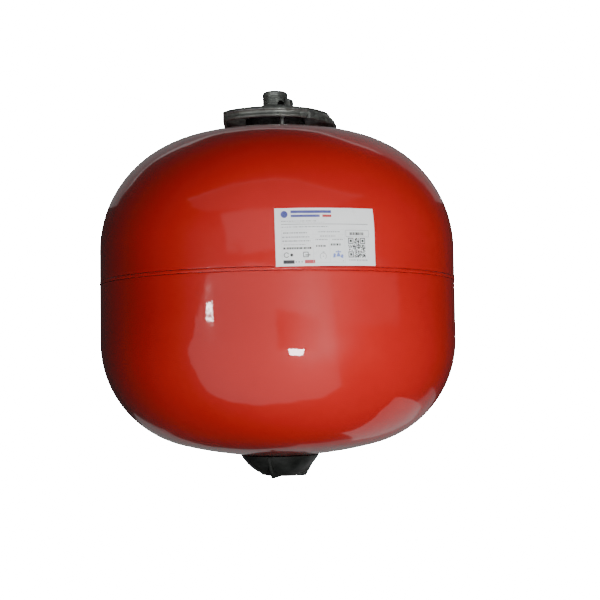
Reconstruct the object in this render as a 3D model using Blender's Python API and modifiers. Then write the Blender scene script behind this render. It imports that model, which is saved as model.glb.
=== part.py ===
"""Diaphragm expansion vessel for a heating system, hung by its water nozzle.

Units are metres, +Z is up along the vessel's axis, and the origin is on that axis at the lowest
point of the black valve cover.  -Y is the front, where the rating label is.  A bearing is measured
round the axis from the front towards +X.
"""
import math

import bmesh
import bpy

MM = 0.001
GAP = 0.3 * MM                      # air left between two pieces that touch
MERGE = 0.00005                     # weld distance of the turned surfaces

# Driving dimensions of the two shells
BODY_RADIUS = 140.0 * MM
SHELL_WALL = 1.0 * MM
SEAM_Z = 152.8 * MM
WELD_HALF = 1.2 * MM
WELD_PROUD = 0.4 * MM
UPPER_KNUCKLE = 91.0 * MM
UPPER_CROWN = 340.0 * MM
UPPER_SKIRT = 25.5 * MM
LOWER_KNUCKLE = 83.6 * MM
LOWER_CROWN = 310.0 * MM
LOWER_SKIRT = 45.4 * MM

# Nozzle, plate and nut on the upper shell
NOZZLE_RADIUS = 10.2 * MM
NOZZLE_BORE = 7.5 * MM
NOZZLE_TOP = 307.3 * MM
NOZZLE_CHAMFER = 1.6 * MM
NOZZLE_INSIDE = 4.0 * MM            # length of the stub inside the shell
NOZZLE_WELD_WIDTH = 3.0 * MM
NOZZLE_WELD_HEIGHT = 2.4 * MM
PLATE_RADIUS = 45.7 * MM
PLATE_TOP = 286.8 * MM
PLATE_THICK = 2.5 * MM
PLATE_RIM = 8.7 * MM
PLATE_BEND = 3.5 * MM
PLATE_HOLE = 14.5 * MM
PLATE_SIDE = 41.1 * MM              # distance from the axis to the flat on the plate's left
GASKET_RADIUS = 24.0 * MM
WASHER_RADIUS = 20.0 * MM
WASHER_THICK = 1.2 * MM
NUT_RADIUS = 17.0 * MM
NUT_HEIGHT = 5.5 * MM
LUG_RADIUS = 15.4 * MM
LUG_WIDTH = 6.0 * MM
LUG_TOP = 300.7 * MM
LUG_BEARINGS = (60.0, 180.0)
PIN_RADIUS = 1.5 * MM
PIN_PLACE = 38.5 * MM
PIN_BEARING = 8.0

# Recess, valve and cover at the lower pole
DIMPLE_FLOOR = 28.0 * MM
DIMPLE_FLAT = 20.5 * MM
DIMPLE_MOUTH = 27.0 * MM
MOUTH_LIP = 1.0 * MM                # width of the recess's lip that follows the crown
MOUTH_ROUND = 1.0 * MM              # width and height of the lip's rounded edge
FLOOR_ROUND = 1.2 * MM              # height of the rounded corner at the recess's floor
VALVE_HOLE = 4.6 * MM
VALVE_RADIUS = 3.85 * MM
VALVE_BORE = 2.5 * MM
VALVE_TIP = 13.0 * MM
VALVE_HEAD_RADIUS = 7.5 * MM
VALVE_HEAD_HEIGHT = 2.0 * MM
VALVE_SEAL = 1.4 * MM
VALVE_WASHER = 1.0 * MM
VALVE_NUT_HEIGHT = 3.8 * MM
VALVE_NUT_CORNER = 7.0 * MM
CORE_BORE = 1.2 * MM
CORE_BARREL = 6.0 * MM
CORE_PIN_RADIUS = 0.6 * MM
CORE_HEAD_RADIUS = 1.9 * MM
SPRING_LENGTH = 6.0 * MM
SPRING_RADIUS = 1.6 * MM
SPRING_WIRE = 0.25 * MM
SPRING_TURNS = 5
CAP_WALL = 1.25 * MM
CAP_HEIGHT = 9.5 * MM
CAP_FLOOR = 1.1 * MM
CAP_SEAL = 0.6 * MM
COVER_TOP = 17.6 * MM
COVER_BASE = 1.0 * MM               # height of the bowl's flat bottom
COVER_CENTER = 34.7 * MM            # height of the centre of the bowl's spheres
COVER_SPHERE = 35.5 * MM
COVER_WALL = 1.6 * MM
SKIRT_WALL = 1.5 * MM
SKIRT_TOP = 17.4 * MM
FIN_FOOT = 20.6 * MM
FIN_WIDTH = 2.6 * MM
FIN_BEARINGS = (-17.0, 103.0, 223.0)
COLLAR_OUTER = 19.5 * MM
COLLAR_INNER = 16.5 * MM
COLLAR_FOOT = 12.5 * MM

# Diaphragm
DIAPHRAGM_TOP = 250.0 * MM
DIAPHRAGM_THICK = 2.2 * MM
DIAPHRAGM_PAD = 42.0 * MM
PAD_RISE = 4.0 * MM
RIM_WIDTH = 7.0 * MM
RIM_HALF = 5.0 * MM
CLAMP_WALL = 2.0 * MM
ROLL_RADIUS = 62.0 * MM

# Rating label
LABEL_HEIGHT = 40.0 * MM
LABEL_FROM = -0.6
LABEL_TO = 28.9
LABEL_THICK = 0.3 * MM

SHELL_STEPS = 40
CROWN_STEPS = 5
KNUCKLE_STEPS = 7
SMALL_STEPS = 32
VALVE_STEPS = 20
SMOOTH_ANGLE = math.radians(40.0)


# ---------------------------------------------------------------- helpers

def clear_scene():
    for obj in list(bpy.data.objects):
        bpy.data.objects.remove(obj, do_unlink=True)


def make_collection(name):
    collection = bpy.data.collections.new(name)
    bpy.context.scene.collection.children.link(collection)
    return collection


def make_material(name, color, roughness, metallic=0.0):
    material = bpy.data.materials.new(name)
    material.use_nodes = True
    shader = material.node_tree.nodes["Principled BSDF"]
    shader.inputs["Base Color"].default_value = (*color, 1.0)
    shader.inputs["Roughness"].default_value = roughness
    shader.inputs["Metallic"].default_value = metallic
    material.diffuse_color = (*color, 1.0)
    return material


def add_object(name, mesh, collection, material=None, parent=None):
    obj = bpy.data.objects.new(name, mesh)
    collection.objects.link(obj)
    if material is not None:
        mesh.materials.append(material)
    obj.parent = parent
    return obj


def make_empty(name, location):
    empty = bpy.data.objects.new(name, None)
    empty.location = location
    PARTS.objects.link(empty)
    return empty


def arc(center_x, center_z, radius, start, end, count):
    """Points of an arc in the XZ plane; angles in degrees, counted from +X towards +Z."""
    points = []
    for index in range(count + 1):
        angle = math.radians(start + (end - start) * index / count)
        points.append((center_x + radius * math.cos(angle), center_z + radius * math.sin(angle)))
    return points


def turned(name, profile, material, steps, closed, parent=None, sweep=360.0, base_z=0.0):
    """A profile turned about Z.  It runs down its outer side, and back up its inner side."""
    mesh = bpy.data.meshes.new(name)
    count = len(profile)
    edges = [(index, index + 1) for index in range(count - 1)]
    if closed:
        edges.append((count - 1, 0))
    mesh.from_pydata([(x, 0.0, z - base_z) for x, z in profile], edges, [])
    obj = add_object(name, mesh, PARTS, material, parent)
    screw = obj.modifiers.new("turn", "SCREW")
    screw.axis = "Z"
    screw.angle = math.radians(sweep)
    screw.steps = steps
    screw.render_steps = steps
    screw.use_merge_vertices = True
    screw.merge_threshold = MERGE
    screw.use_smooth_shade = True
    return obj


def ring(name, outer, inner, top, bottom, material, steps, parent=None, base_z=0.0):
    """A plain ring of rectangular section."""
    profile = [(outer, top), (outer, bottom), (inner, bottom), (inner, top)]
    return turned(name, profile, material, steps, True, parent, base_z=base_z)


def disc(name, radius, top, bottom, material, steps, parent=None, base_z=0.0):
    profile = [(0.0, top), (radius, top), (radius, bottom), (0.0, bottom)]
    return turned(name, profile, material, steps, False, parent, base_z=base_z)


def solidify(obj, thickness):
    modifier = obj.modifiers.new("wall", "SOLIDIFY")
    modifier.thickness = thickness
    modifier.offset = -1.0
    modifier.use_even_offset = True
    return modifier


def prism(name, outline, width, bearing, collection, material=None):
    """A flat outline in the radial plane at a bearing, given a width across that plane."""
    mesh = bpy.data.meshes.new(name)
    shape = bmesh.new()
    front = [shape.verts.new((x, -width / 2.0, z)) for x, z in outline]
    face = shape.faces.new(front)
    swept = bmesh.ops.extrude_face_region(shape, geom=[face])
    moved = [item for item in swept["geom"] if isinstance(item, bmesh.types.BMVert)]
    bmesh.ops.translate(shape, verts=moved, vec=(0.0, width, 0.0))
    bmesh.ops.recalc_face_normals(shape, faces=shape.faces)
    shape.to_mesh(mesh)
    shape.free()
    obj = add_object(name, mesh, collection, material)
    obj.rotation_euler = (0.0, 0.0, math.radians(bearing - 90.0))
    return obj


def as_tool(obj):
    obj.hide_render = True
    obj.display_type = "WIRE"
    return obj


def boolean(obj, tool, operation):
    modifier = obj.modifiers.new(tool.name, "BOOLEAN")
    modifier.object = as_tool(tool)
    modifier.operation = operation
    modifier.solver = "EXACT"


def tool_cylinder(name, radius, depth, location, rotation=(0.0, 0.0, 0.0), vertices=SMALL_STEPS):
    mesh = bpy.data.meshes.new(name)
    shape = bmesh.new()
    bmesh.ops.create_cone(shape, cap_ends=True, segments=vertices, radius1=radius, radius2=radius,
                          depth=depth)
    shape.to_mesh(mesh)
    shape.free()
    obj = add_object(name, mesh, TOOLS)
    obj.location = location
    obj.rotation_euler = rotation
    return obj


def at_bearing(radius, bearing, z):
    angle = math.radians(bearing)
    return (radius * math.sin(angle), -radius * math.cos(angle), z)


# ---------------------------------------------------------------- shell outline

class Dished:
    """A dished end: a cylindrical skirt, a knuckle arc and a crown arc, at heights above the seam."""

    def __init__(self, knuckle, crown, skirt):
        self.knuckle = knuckle
        self.crown = crown
        self.skirt = skirt
        self.knuckle_x = BODY_RADIUS - knuckle
        self.crown_z = skirt - math.sqrt((crown - knuckle) ** 2 - self.knuckle_x ** 2)
        self.meet = math.degrees(math.atan2(skirt - self.crown_z, self.knuckle_x))

    def height_at(self, radius):
        """Height of the crown above the seam at a radius inside the knuckle."""
        return self.crown_z + math.sqrt(self.crown ** 2 - radius ** 2)

    def outline(self, inner_radius, crown_steps, knuckle_steps):
        """From the inner radius on the crown, out and down to the top of the skirt."""
        start = math.degrees(math.acos(inner_radius / self.crown))
        points = arc(0.0, self.crown_z, self.crown, start, self.meet, crown_steps)
        points += arc(self.knuckle_x, self.skirt, self.knuckle, self.meet, 0.0, knuckle_steps)[1:]
        return points

    def radius_at(self, height):
        """Radius of the skirt or knuckle at a height above the seam."""
        above = max(0.0, height - self.skirt)
        return self.knuckle_x + math.sqrt(self.knuckle ** 2 - above ** 2)


UPPER = Dished(UPPER_KNUCKLE, UPPER_CROWN, UPPER_SKIRT)
LOWER = Dished(LOWER_KNUCKLE, LOWER_CROWN, LOWER_SKIRT)


# ---------------------------------------------------------------- vessel shells

def make_upper_shell():
    hole = NOZZLE_RADIUS + GAP
    outline = [(x, SEAM_Z + z) for x, z in UPPER.outline(hole, CROWN_STEPS, KNUCKLE_STEPS)]
    outline.append((BODY_RADIUS, SEAM_Z + WELD_HALF + GAP))
    shell = turned("upper_shell", outline, RED, SHELL_STEPS, False)
    solidify(shell, SHELL_WALL)


def make_lower_shell():
    """Skirt, knuckle and crown, open at the pole where the recess sits."""
    outline = [(BODY_RADIUS, SEAM_Z - WELD_HALF - GAP)]
    downward = LOWER.outline(DIMPLE_MOUTH, CROWN_STEPS, KNUCKLE_STEPS)
    outline += [(x, SEAM_Z - z) for x, z in reversed(downward)]
    shell = turned("lower_shell", outline, RED, SHELL_STEPS, False)
    solidify(shell, SHELL_WALL)


def make_valve_recess():
    """The cup in the middle of the lower shell that hides the air valve."""
    mouth = DIMPLE_MOUTH - GAP
    lip = mouth - MOUTH_LIP
    lip_z = SEAM_Z - LOWER.height_at(lip)
    outline = [
        (mouth, SEAM_Z - LOWER.height_at(mouth)),
        (lip, lip_z),
        (lip - MOUTH_ROUND, lip_z + MOUTH_ROUND),
        (DIMPLE_FLAT + MOUTH_ROUND, DIMPLE_FLOOR - FLOOR_ROUND),
        (DIMPLE_FLAT, DIMPLE_FLOOR),
        (VALVE_HOLE, DIMPLE_FLOOR),
    ]
    recess = turned("valve_recess", outline, RED, SHELL_STEPS, False)
    solidify(recess, SHELL_WALL)


def make_girth_weld():
    """The bead fills the slot between the two skirts and stands a little proud of them."""
    proud = BODY_RADIUS + WELD_PROUD
    root = BODY_RADIUS - SHELL_WALL
    profile = [
        (BODY_RADIUS, SEAM_Z + WELD_HALF),
        (proud, SEAM_Z + WELD_HALF * 0.5),
        (proud, SEAM_Z - WELD_HALF * 0.5),
        (BODY_RADIUS, SEAM_Z - WELD_HALF),
        (root, SEAM_Z - WELD_HALF),
        (root, SEAM_Z + WELD_HALF),
    ]
    turned("girth_weld", profile, RED, SHELL_STEPS, True)


def make_rating_label():
    """A thin sheet that lies on the upper shell, its lower edge on the weld."""
    outline = []
    steps = 6
    for index in range(steps + 1):
        height = WELD_HALF + GAP + LABEL_HEIGHT * (1.0 - index / steps)
        radius = UPPER.radius_at(height) + GAP + LABEL_THICK
        outline.append((radius, SEAM_Z + height))
    label = turned("rating_label", outline, LABEL, 12, False, sweep=LABEL_TO - LABEL_FROM)
    label.rotation_euler = (0.0, 0.0, math.radians(LABEL_FROM - 90.0))
    solidify(label, LABEL_THICK)


# ---------------------------------------------------------------- diaphragm

def make_diaphragm():
    """Rim bead, clamp ring, rolling wall and centre pad, drawn with the gas pressing it upwards."""
    shell_bore = BODY_RADIUS - SHELL_WALL
    rim_outer = shell_bore - GAP
    rim_inner = rim_outer - RIM_WIDTH
    ring("diaphragm_rim", rim_outer, rim_inner, SEAM_Z + RIM_HALF, SEAM_Z - RIM_HALF, RUBBER,
         SHELL_STEPS)

    ring_outer = rim_inner - GAP
    ring_inner = ring_outer - CLAMP_WALL
    ring_half = RIM_HALF + CLAMP_WALL
    clamp = [
        (ring_outer, SEAM_Z + ring_half),
        (ring_outer, SEAM_Z - RIM_HALF - GAP),
        (rim_outer, SEAM_Z - RIM_HALF - GAP),
        (rim_outer, SEAM_Z - ring_half),
        (ring_inner, SEAM_Z - ring_half),
        (ring_inner, SEAM_Z + ring_half),
    ]
    turned("diaphragm_clamp_ring", clamp, STEEL, SHELL_STEPS, True)

    foot_z = SEAM_Z + ring_half + GAP
    wall_radius = ring_outer - CLAMP_WALL / 2.0
    outline = [(DIAPHRAGM_PAD + GAP, DIAPHRAGM_TOP)]
    outline += arc(wall_radius - ROLL_RADIUS, DIAPHRAGM_TOP - ROLL_RADIUS, ROLL_RADIUS, 90.0, 0.0, 5)
    outline.append((wall_radius, foot_z))
    wall = turned("diaphragm_wall", outline, RUBBER, SHELL_STEPS, False)
    solidify(wall, DIAPHRAGM_THICK)

    thick = DIAPHRAGM_THICK * 1.5
    middle = DIAPHRAGM_PAD * 0.6
    middle_z = DIAPHRAGM_TOP + PAD_RISE * 0.6
    pad = [
        (0.0, DIAPHRAGM_TOP + PAD_RISE),
        (middle, middle_z),
        (DIAPHRAGM_PAD, DIAPHRAGM_TOP),
        (DIAPHRAGM_PAD, DIAPHRAGM_TOP - thick),
        (middle, middle_z - thick),
        (0.0, DIAPHRAGM_TOP + PAD_RISE - thick),
    ]
    travel = make_empty("diaphragm_axis", (0.0, 0.0, DIAPHRAGM_TOP))
    turned("diaphragm_centre", pad, RUBBER, SHELL_STEPS, False, travel, base_z=DIAPHRAGM_TOP)


# ---------------------------------------------------------------- nozzle end

def make_water_nozzle():
    shell_top = SEAM_Z + UPPER.height_at(NOZZLE_RADIUS)
    foot = shell_top - NOZZLE_INSIDE
    profile = [
        (NOZZLE_RADIUS - NOZZLE_CHAMFER, NOZZLE_TOP),
        (NOZZLE_RADIUS, NOZZLE_TOP - NOZZLE_CHAMFER),
        (NOZZLE_RADIUS, foot),
        (NOZZLE_BORE, foot),
        (NOZZLE_BORE, NOZZLE_TOP),
    ]
    turned("water_nozzle", profile, ZINC, SMALL_STEPS, True)

    weld_inner = NOZZLE_RADIUS + GAP
    weld_outer = weld_inner + NOZZLE_WELD_WIDTH
    weld_foot = shell_top + GAP
    weld_top = weld_foot + NOZZLE_WELD_HEIGHT
    weld = [
        (weld_inner + NOZZLE_WELD_WIDTH * 0.15, weld_top),
        (weld_outer, weld_foot + NOZZLE_WELD_HEIGHT * 0.25),
        (weld_outer, weld_foot),
        (weld_inner, weld_foot),
        (weld_inner, weld_top),
    ]
    turned("nozzle_weld", weld, ZINC, SMALL_STEPS, True)


def radial_block(name, inner, outer, top, foot, width, bearing):
    outline = [(inner, top), (outer, top), (outer, foot), (inner, foot)]
    return prism(name, outline, width, bearing, TOOLS)


def make_mounting_plate():
    """Round plate with a turned-down rim; its left side is folded down flat."""
    foot = PLATE_TOP - PLATE_RIM
    outline = [(PLATE_HOLE, PLATE_TOP)]
    outline += arc(PLATE_RADIUS - PLATE_BEND, PLATE_TOP - PLATE_BEND, PLATE_BEND, 90.0, 0.0, 3)
    outline.append((PLATE_RADIUS, foot))
    plate = turned("mounting_plate", outline, ZINC, SHELL_STEPS, False)
    solidify(plate, PLATE_THICK)

    half = math.sqrt(PLATE_RADIUS ** 2 - PLATE_SIDE ** 2)
    fold = radial_block("side_fold", PLATE_SIDE - PLATE_THICK, PLATE_RADIUS, PLATE_TOP, foot,
                        half * 2.0 - PLATE_THICK, -90.0)
    boolean(plate, fold, "UNION")
    beyond = radial_block("side_cut", PLATE_SIDE, PLATE_RADIUS * 1.2, PLATE_TOP + PLATE_RIM,
                          foot - PLATE_RIM, PLATE_RADIUS * 1.5, -90.0)
    boolean(plate, beyond, "DIFFERENCE")


def make_plate_fixings():
    """Gasket under the plate, washer and lugged nut on it, and the pin that stops it turning."""
    gasket_foot = SEAM_Z + UPPER.height_at(PLATE_HOLE) + GAP
    ring("plate_gasket", GASKET_RADIUS, PLATE_HOLE, PLATE_TOP - PLATE_THICK - GAP, gasket_foot,
         RUBBER, SMALL_STEPS)

    bore = NOZZLE_RADIUS + GAP
    washer_foot = PLATE_TOP + GAP
    washer_top = washer_foot + WASHER_THICK
    ring("lock_washer", WASHER_RADIUS, bore, washer_top, washer_foot, ZINC, SMALL_STEPS)

    nut_foot = washer_top + GAP
    nut = ring("lock_nut", NUT_RADIUS, bore, nut_foot + NUT_HEIGHT, nut_foot, ZINC, SMALL_STEPS)
    root = bore + 0.4 * MM
    root_foot = nut_foot + 1.0 * MM
    bevel = 1.2 * MM
    for number, bearing in enumerate(LUG_BEARINGS):
        lug = [
            (root, LUG_TOP),
            (LUG_RADIUS - bevel, LUG_TOP),
            (LUG_RADIUS, LUG_TOP - bevel),
            (LUG_RADIUS, root_foot),
            (root, root_foot),
        ]
        tool = prism("lug_%d" % (number + 1), lug, LUG_WIDTH, bearing, TOOLS)
        boolean(nut, tool, "UNION")

    foot = SEAM_Z + UPPER.height_at(PIN_PLACE - PIN_RADIUS) + GAP
    length = PLATE_TOP - PLATE_THICK - GAP - foot
    mesh = bpy.data.meshes.new("anti_rotation_pin")
    shape = bmesh.new()
    bmesh.ops.create_cone(shape, cap_ends=True, segments=12, radius1=PIN_RADIUS,
                          radius2=PIN_RADIUS, depth=length)
    shape.to_mesh(mesh)
    shape.free()
    pin = add_object("anti_rotation_pin", mesh, PARTS, ZINC)
    pin.location = at_bearing(PIN_PLACE, PIN_BEARING, foot + length / 2.0)


# ---------------------------------------------------------------- air valve

def make_valve_body():
    inner_face = DIMPLE_FLOOR + SHELL_WALL
    head_foot = inner_face + VALVE_SEAL + 2.0 * GAP
    head_top = head_foot + VALVE_HEAD_HEIGHT
    chamfer = 0.5 * MM
    profile = [
        (VALVE_HEAD_RADIUS, head_top),
        (VALVE_HEAD_RADIUS, head_foot),
        (VALVE_RADIUS, head_foot),
        (VALVE_RADIUS, VALVE_TIP + chamfer),
        (VALVE_RADIUS - chamfer, VALVE_TIP),
        (VALVE_BORE, VALVE_TIP),
        (VALVE_BORE, head_top),
    ]
    turned("valve_body", profile, BRASS, VALVE_STEPS, True)
    clearance = VALVE_RADIUS + GAP
    ring("valve_grommet", VALVE_HEAD_RADIUS + 1.0 * MM, clearance, head_foot - GAP,
         inner_face + GAP, RUBBER, VALVE_STEPS)

    washer_top = DIMPLE_FLOOR - GAP
    washer_foot = washer_top - VALVE_WASHER
    ring("valve_washer", VALVE_HEAD_RADIUS, clearance, washer_top, washer_foot, ZINC, VALVE_STEPS)

    mesh = bpy.data.meshes.new("valve_nut")
    shape = bmesh.new()
    bmesh.ops.create_cone(shape, cap_ends=True, segments=6, radius1=VALVE_NUT_CORNER,
                          radius2=VALVE_NUT_CORNER, depth=VALVE_NUT_HEIGHT)
    shape.to_mesh(mesh)
    shape.free()
    nut = add_object("valve_nut", mesh, PARTS, BRASS)
    nut.location = (0.0, 0.0, washer_foot - GAP - VALVE_NUT_HEIGHT / 2.0)
    hole = tool_cylinder("valve_nut_hole", clearance, VALVE_NUT_HEIGHT * 2.0, nut.location,
                         vertices=VALVE_STEPS)
    boolean(nut, hole, "DIFFERENCE")


def make_valve_core():
    """Barrel with its bore, seal ring, spring sleeve and the pin that is pressed to let gas pass."""
    barrel_outer = VALVE_BORE - GAP
    barrel_foot = VALVE_TIP + 1.5 * MM
    barrel_top = barrel_foot + CORE_BARREL
    ring("valve_core_barrel", barrel_outer, CORE_BORE, barrel_top, barrel_foot, BRASS,
         VALVE_STEPS)
    seal_foot = barrel_top + GAP
    seal_top = seal_foot + VALVE_SEAL
    ring("valve_core_seal", barrel_outer, CORE_BORE, seal_top, seal_foot, RUBBER, VALVE_STEPS)

    head_foot = seal_top + GAP
    head_top = head_foot + 1.0 * MM
    pin_foot = VALVE_TIP + GAP
    travel = make_empty("valve_pin_axis", (0.0, 0.0, pin_foot))
    pin = [
        (0.0, head_top),
        (CORE_HEAD_RADIUS, head_top),
        (CORE_HEAD_RADIUS, head_foot),
        (CORE_PIN_RADIUS, head_foot),
        (CORE_PIN_RADIUS, pin_foot),
        (0.0, pin_foot),
    ]
    turned("valve_core_pin", pin, BRASS, VALVE_STEPS, False, travel, base_z=pin_foot)

    spring_foot = head_top + GAP
    spring_top = spring_foot + SPRING_LENGTH
    make_spring(spring_foot + SPRING_WIRE, SPRING_LENGTH - 2.0 * SPRING_WIRE)

    clip_foot = spring_top + GAP
    ring("valve_spring_clip", barrel_outer, 1.0 * MM, clip_foot + 1.0 * MM, clip_foot, BRASS,
         VALVE_STEPS)


def make_spring(first_z, reach):
    per_turn = 8
    count = SPRING_TURNS * per_turn + 1
    curve = bpy.data.curves.new("spring_path", "CURVE")
    curve.dimensions = "3D"
    curve.bevel_depth = SPRING_WIRE
    curve.bevel_resolution = 0
    curve.use_fill_caps = True
    spline = curve.splines.new("POLY")
    spline.points.add(count - 1)
    for index in range(count):
        angle = math.tau * index / per_turn
        x = SPRING_RADIUS * math.cos(angle)
        y = SPRING_RADIUS * math.sin(angle)
        z = first_z + reach * index / (count - 1)
        spline.points[index].co = (x, y, z, 1.0)
    spring = bpy.data.objects.new("valve_core_spring", curve)
    curve.materials.append(STEEL)
    PARTS.objects.link(spring)


def make_dust_cap():
    inner = VALVE_RADIUS + GAP
    outer = inner + CAP_WALL
    seal_top = VALVE_TIP - GAP
    seal_foot = seal_top - CAP_SEAL
    cap_floor = seal_foot - GAP
    cap_foot = cap_floor - CAP_FLOOR
    cap_top = cap_foot + CAP_HEIGHT
    chamfer = 0.6 * MM
    travel = make_empty("dust_cap_axis", (0.0, 0.0, cap_foot))
    profile = [
        (0.0, cap_floor),
        (inner, cap_floor),
        (inner, cap_top),
        (outer, cap_top),
        (outer, cap_foot + chamfer),
        (outer - chamfer, cap_foot),
        (0.0, cap_foot),
    ]
    turned("dust_cap", profile, BLACK, VALVE_STEPS, False, travel, base_z=cap_foot)
    disc("dust_cap_seal", VALVE_RADIUS, seal_top, seal_foot, RUBBER, VALVE_STEPS, travel,
         base_z=cap_foot)


# ---------------------------------------------------------------- valve cover

def bowl_radius(sphere, height):
    """Radius of a bowl surface at a height; all the bowl's spheres share one centre."""
    return math.sqrt(sphere ** 2 - (COVER_CENTER - height) ** 2)


def bowl_arc(sphere, from_radius, to_radius, count):
    """Points of a bowl surface from one radius to another."""
    start = -math.degrees(math.acos(from_radius / sphere))
    end = -math.degrees(math.acos(to_radius / sphere))
    return arc(0.0, COVER_CENTER, sphere, start, end, count)


def make_valve_cover():
    """Flat-bottomed bowl with a threaded skirt inside it and three grip fins below it."""
    inner_sphere = COVER_SPHERE - COVER_WALL
    skirt_inner = COLLAR_OUTER + GAP
    skirt_outer = skirt_inner + SKIRT_WALL
    rim_inner = bowl_radius(inner_sphere, COVER_TOP)
    rim_outer = bowl_radius(COVER_SPHERE, COVER_TOP)
    floor = COVER_BASE + COVER_WALL
    profile = [(0.0, floor)]
    profile += bowl_arc(inner_sphere, bowl_radius(inner_sphere, floor), skirt_inner, 2)
    profile.append((skirt_inner, SKIRT_TOP))
    profile.append((skirt_outer, SKIRT_TOP))
    profile += bowl_arc(inner_sphere, skirt_outer, rim_inner, 2)
    profile += bowl_arc(COVER_SPHERE, rim_outer, bowl_radius(COVER_SPHERE, COVER_BASE), 6)
    profile.append((0.0, COVER_BASE))
    travel = make_empty("valve_cover_axis", (0.0, 0.0, 0.0))
    cover = turned("valve_cover", profile, BLACK, SMALL_STEPS, False, travel)

    fin_hub = 1.0 * MM
    fin_shoulder = rim_outer - 0.3 * MM
    fin_root = COVER_SPHERE - COVER_WALL / 2.0
    root_z = COVER_BASE + COVER_WALL / 2.0
    fin = [(fin_hub, 0.0), (FIN_FOOT, 0.0), (fin_shoulder, COVER_TOP - 1.2 * MM)]
    fin += bowl_arc(fin_root, bowl_radius(fin_root, COVER_TOP - 0.4 * MM),
                    bowl_radius(fin_root, root_z), 4)
    fin.append((fin_hub, root_z))
    for number, bearing in enumerate(FIN_BEARINGS):
        boolean(cover, prism("fin_%d" % (number + 1), fin, FIN_WIDTH, bearing, TOOLS), "UNION")

    collar_top = DIMPLE_FLOOR - GAP
    ring("cover_collar", COLLAR_OUTER, COLLAR_INNER, collar_top, COLLAR_FOOT, BLACK, SMALL_STEPS)
    ring("cover_seal", COLLAR_OUTER - 0.2 * MM, COLLAR_INNER, COLLAR_FOOT - GAP,
         COLLAR_FOOT - 2.0 * MM, RUBBER, SMALL_STEPS, travel)


# ---------------------------------------------------------------- build

clear_scene()
PARTS = make_collection("expansion_vessel")
TOOLS = make_collection("cutters")
RED = make_material("red_enamel", (0.42, 0.025, 0.02), 0.16)
ZINC = make_material("galvanised_steel", (0.42, 0.45, 0.42), 0.4, 0.8)
STEEL = make_material("bare_steel", (0.5, 0.5, 0.5), 0.4, 1.0)
BRASS = make_material("brass", (0.7, 0.5, 0.2), 0.3, 1.0)
BLACK = make_material("black_plastic", (0.02, 0.02, 0.02), 0.45)
RUBBER = make_material("black_rubber", (0.03, 0.03, 0.03), 0.75)
LABEL = make_material("label_film", (0.86, 0.88, 0.88), 0.4)

make_upper_shell()
make_lower_shell()
make_valve_recess()
make_girth_weld()
make_rating_label()
make_diaphragm()
make_water_nozzle()
make_mounting_plate()
make_plate_fixings()
make_valve_body()
make_valve_core()
make_dust_cap()
make_valve_cover()

for part in PARTS.objects:
    if part.type == "MESH":
        part.data.shade_smooth()
        part.data.set_sharp_from_angle(angle=SMOOTH_ANGLE)
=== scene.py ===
"""Looks of the expansion vessel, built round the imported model.  Metres, +Z up, front towards -Y."""

import math
import random

import bmesh
import bpy
from mathutils import Matrix, Vector


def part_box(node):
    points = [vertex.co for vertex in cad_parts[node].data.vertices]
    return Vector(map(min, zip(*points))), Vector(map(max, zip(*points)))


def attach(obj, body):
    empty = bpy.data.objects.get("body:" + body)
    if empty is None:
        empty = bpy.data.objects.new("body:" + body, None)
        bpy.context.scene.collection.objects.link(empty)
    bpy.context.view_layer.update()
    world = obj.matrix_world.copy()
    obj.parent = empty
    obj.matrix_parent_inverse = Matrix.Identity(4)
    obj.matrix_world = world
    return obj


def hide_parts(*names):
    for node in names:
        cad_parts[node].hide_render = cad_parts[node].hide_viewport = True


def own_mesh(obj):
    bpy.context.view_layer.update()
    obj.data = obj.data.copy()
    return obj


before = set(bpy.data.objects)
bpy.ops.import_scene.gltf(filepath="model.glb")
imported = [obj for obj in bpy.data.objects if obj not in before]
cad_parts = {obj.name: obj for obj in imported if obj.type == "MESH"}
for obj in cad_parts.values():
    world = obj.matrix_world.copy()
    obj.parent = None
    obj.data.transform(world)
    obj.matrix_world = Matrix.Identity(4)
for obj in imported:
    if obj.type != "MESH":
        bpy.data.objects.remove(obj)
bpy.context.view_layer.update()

MM = 0.001
TAU = math.tau
FINE = 192                          # steps round the body
SMALL = 96                          # steps round the fittings
TINY = 48                           # steps round the valve's parts


# ---------------------------------------------------------------- sizes read from the frame

def measure(node):
    """Outer radius, inner radius, top and foot of a turned CAD node."""
    radii = []
    heights = []
    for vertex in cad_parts[node].data.vertices:
        radii.append(math.hypot(vertex.co.x, vertex.co.y))
        heights.append(vertex.co.z)
    return max(radii), min(radii), max(heights), min(heights)


BODY_RADIUS, NOZZLE_HOLE, _, UPPER_FOOT = measure("upper_shell")
WELD_RADIUS, WELD_ROOT, WELD_TOP, WELD_FOOT = measure("girth_weld")
SEAM_Z = (WELD_TOP + WELD_FOOT) / 2.0
SHELL_WALL = BODY_RADIUS - WELD_ROOT
VALVE_HOLE = measure("valve_recess")[1]

# Bearings in degrees from the front towards the right
BEAD_END = 34.0
LUG_BEARINGS = (60.0, 180.0)
POCKET_BEARING = 28.0
FIN_BEARINGS = (-17.0, 103.0, 223.0)

# Proportions of the two dished ends, as shares of the body radius
UPPER_KNUCKLE = 0.65 * BODY_RADIUS
UPPER_CROWN = 2.42857 * BODY_RADIUS
UPPER_SKIRT = 0.182143 * BODY_RADIUS
LOWER_KNUCKLE = 0.597143 * BODY_RADIUS
LOWER_CROWN = 2.214286 * BODY_RADIUS
LOWER_SKIRT = 0.324286 * BODY_RADIUS
DIMPLE_MOUTH = 27.0 * MM
DIMPLE_FLAT = 20.5 * MM
DIMPLE_FLOOR = 28.0 * MM


# ---------------------------------------------------------------- mesh tools

def make_object(name, mesh, material):
    obj = bpy.data.objects.new(name, mesh)
    bpy.context.scene.collection.objects.link(obj)
    mesh.materials.append(material)
    return obj


def shade(mesh, angle=35.0):
    mesh.shade_smooth()
    mesh.set_sharp_from_angle(angle=math.radians(angle))


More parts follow.
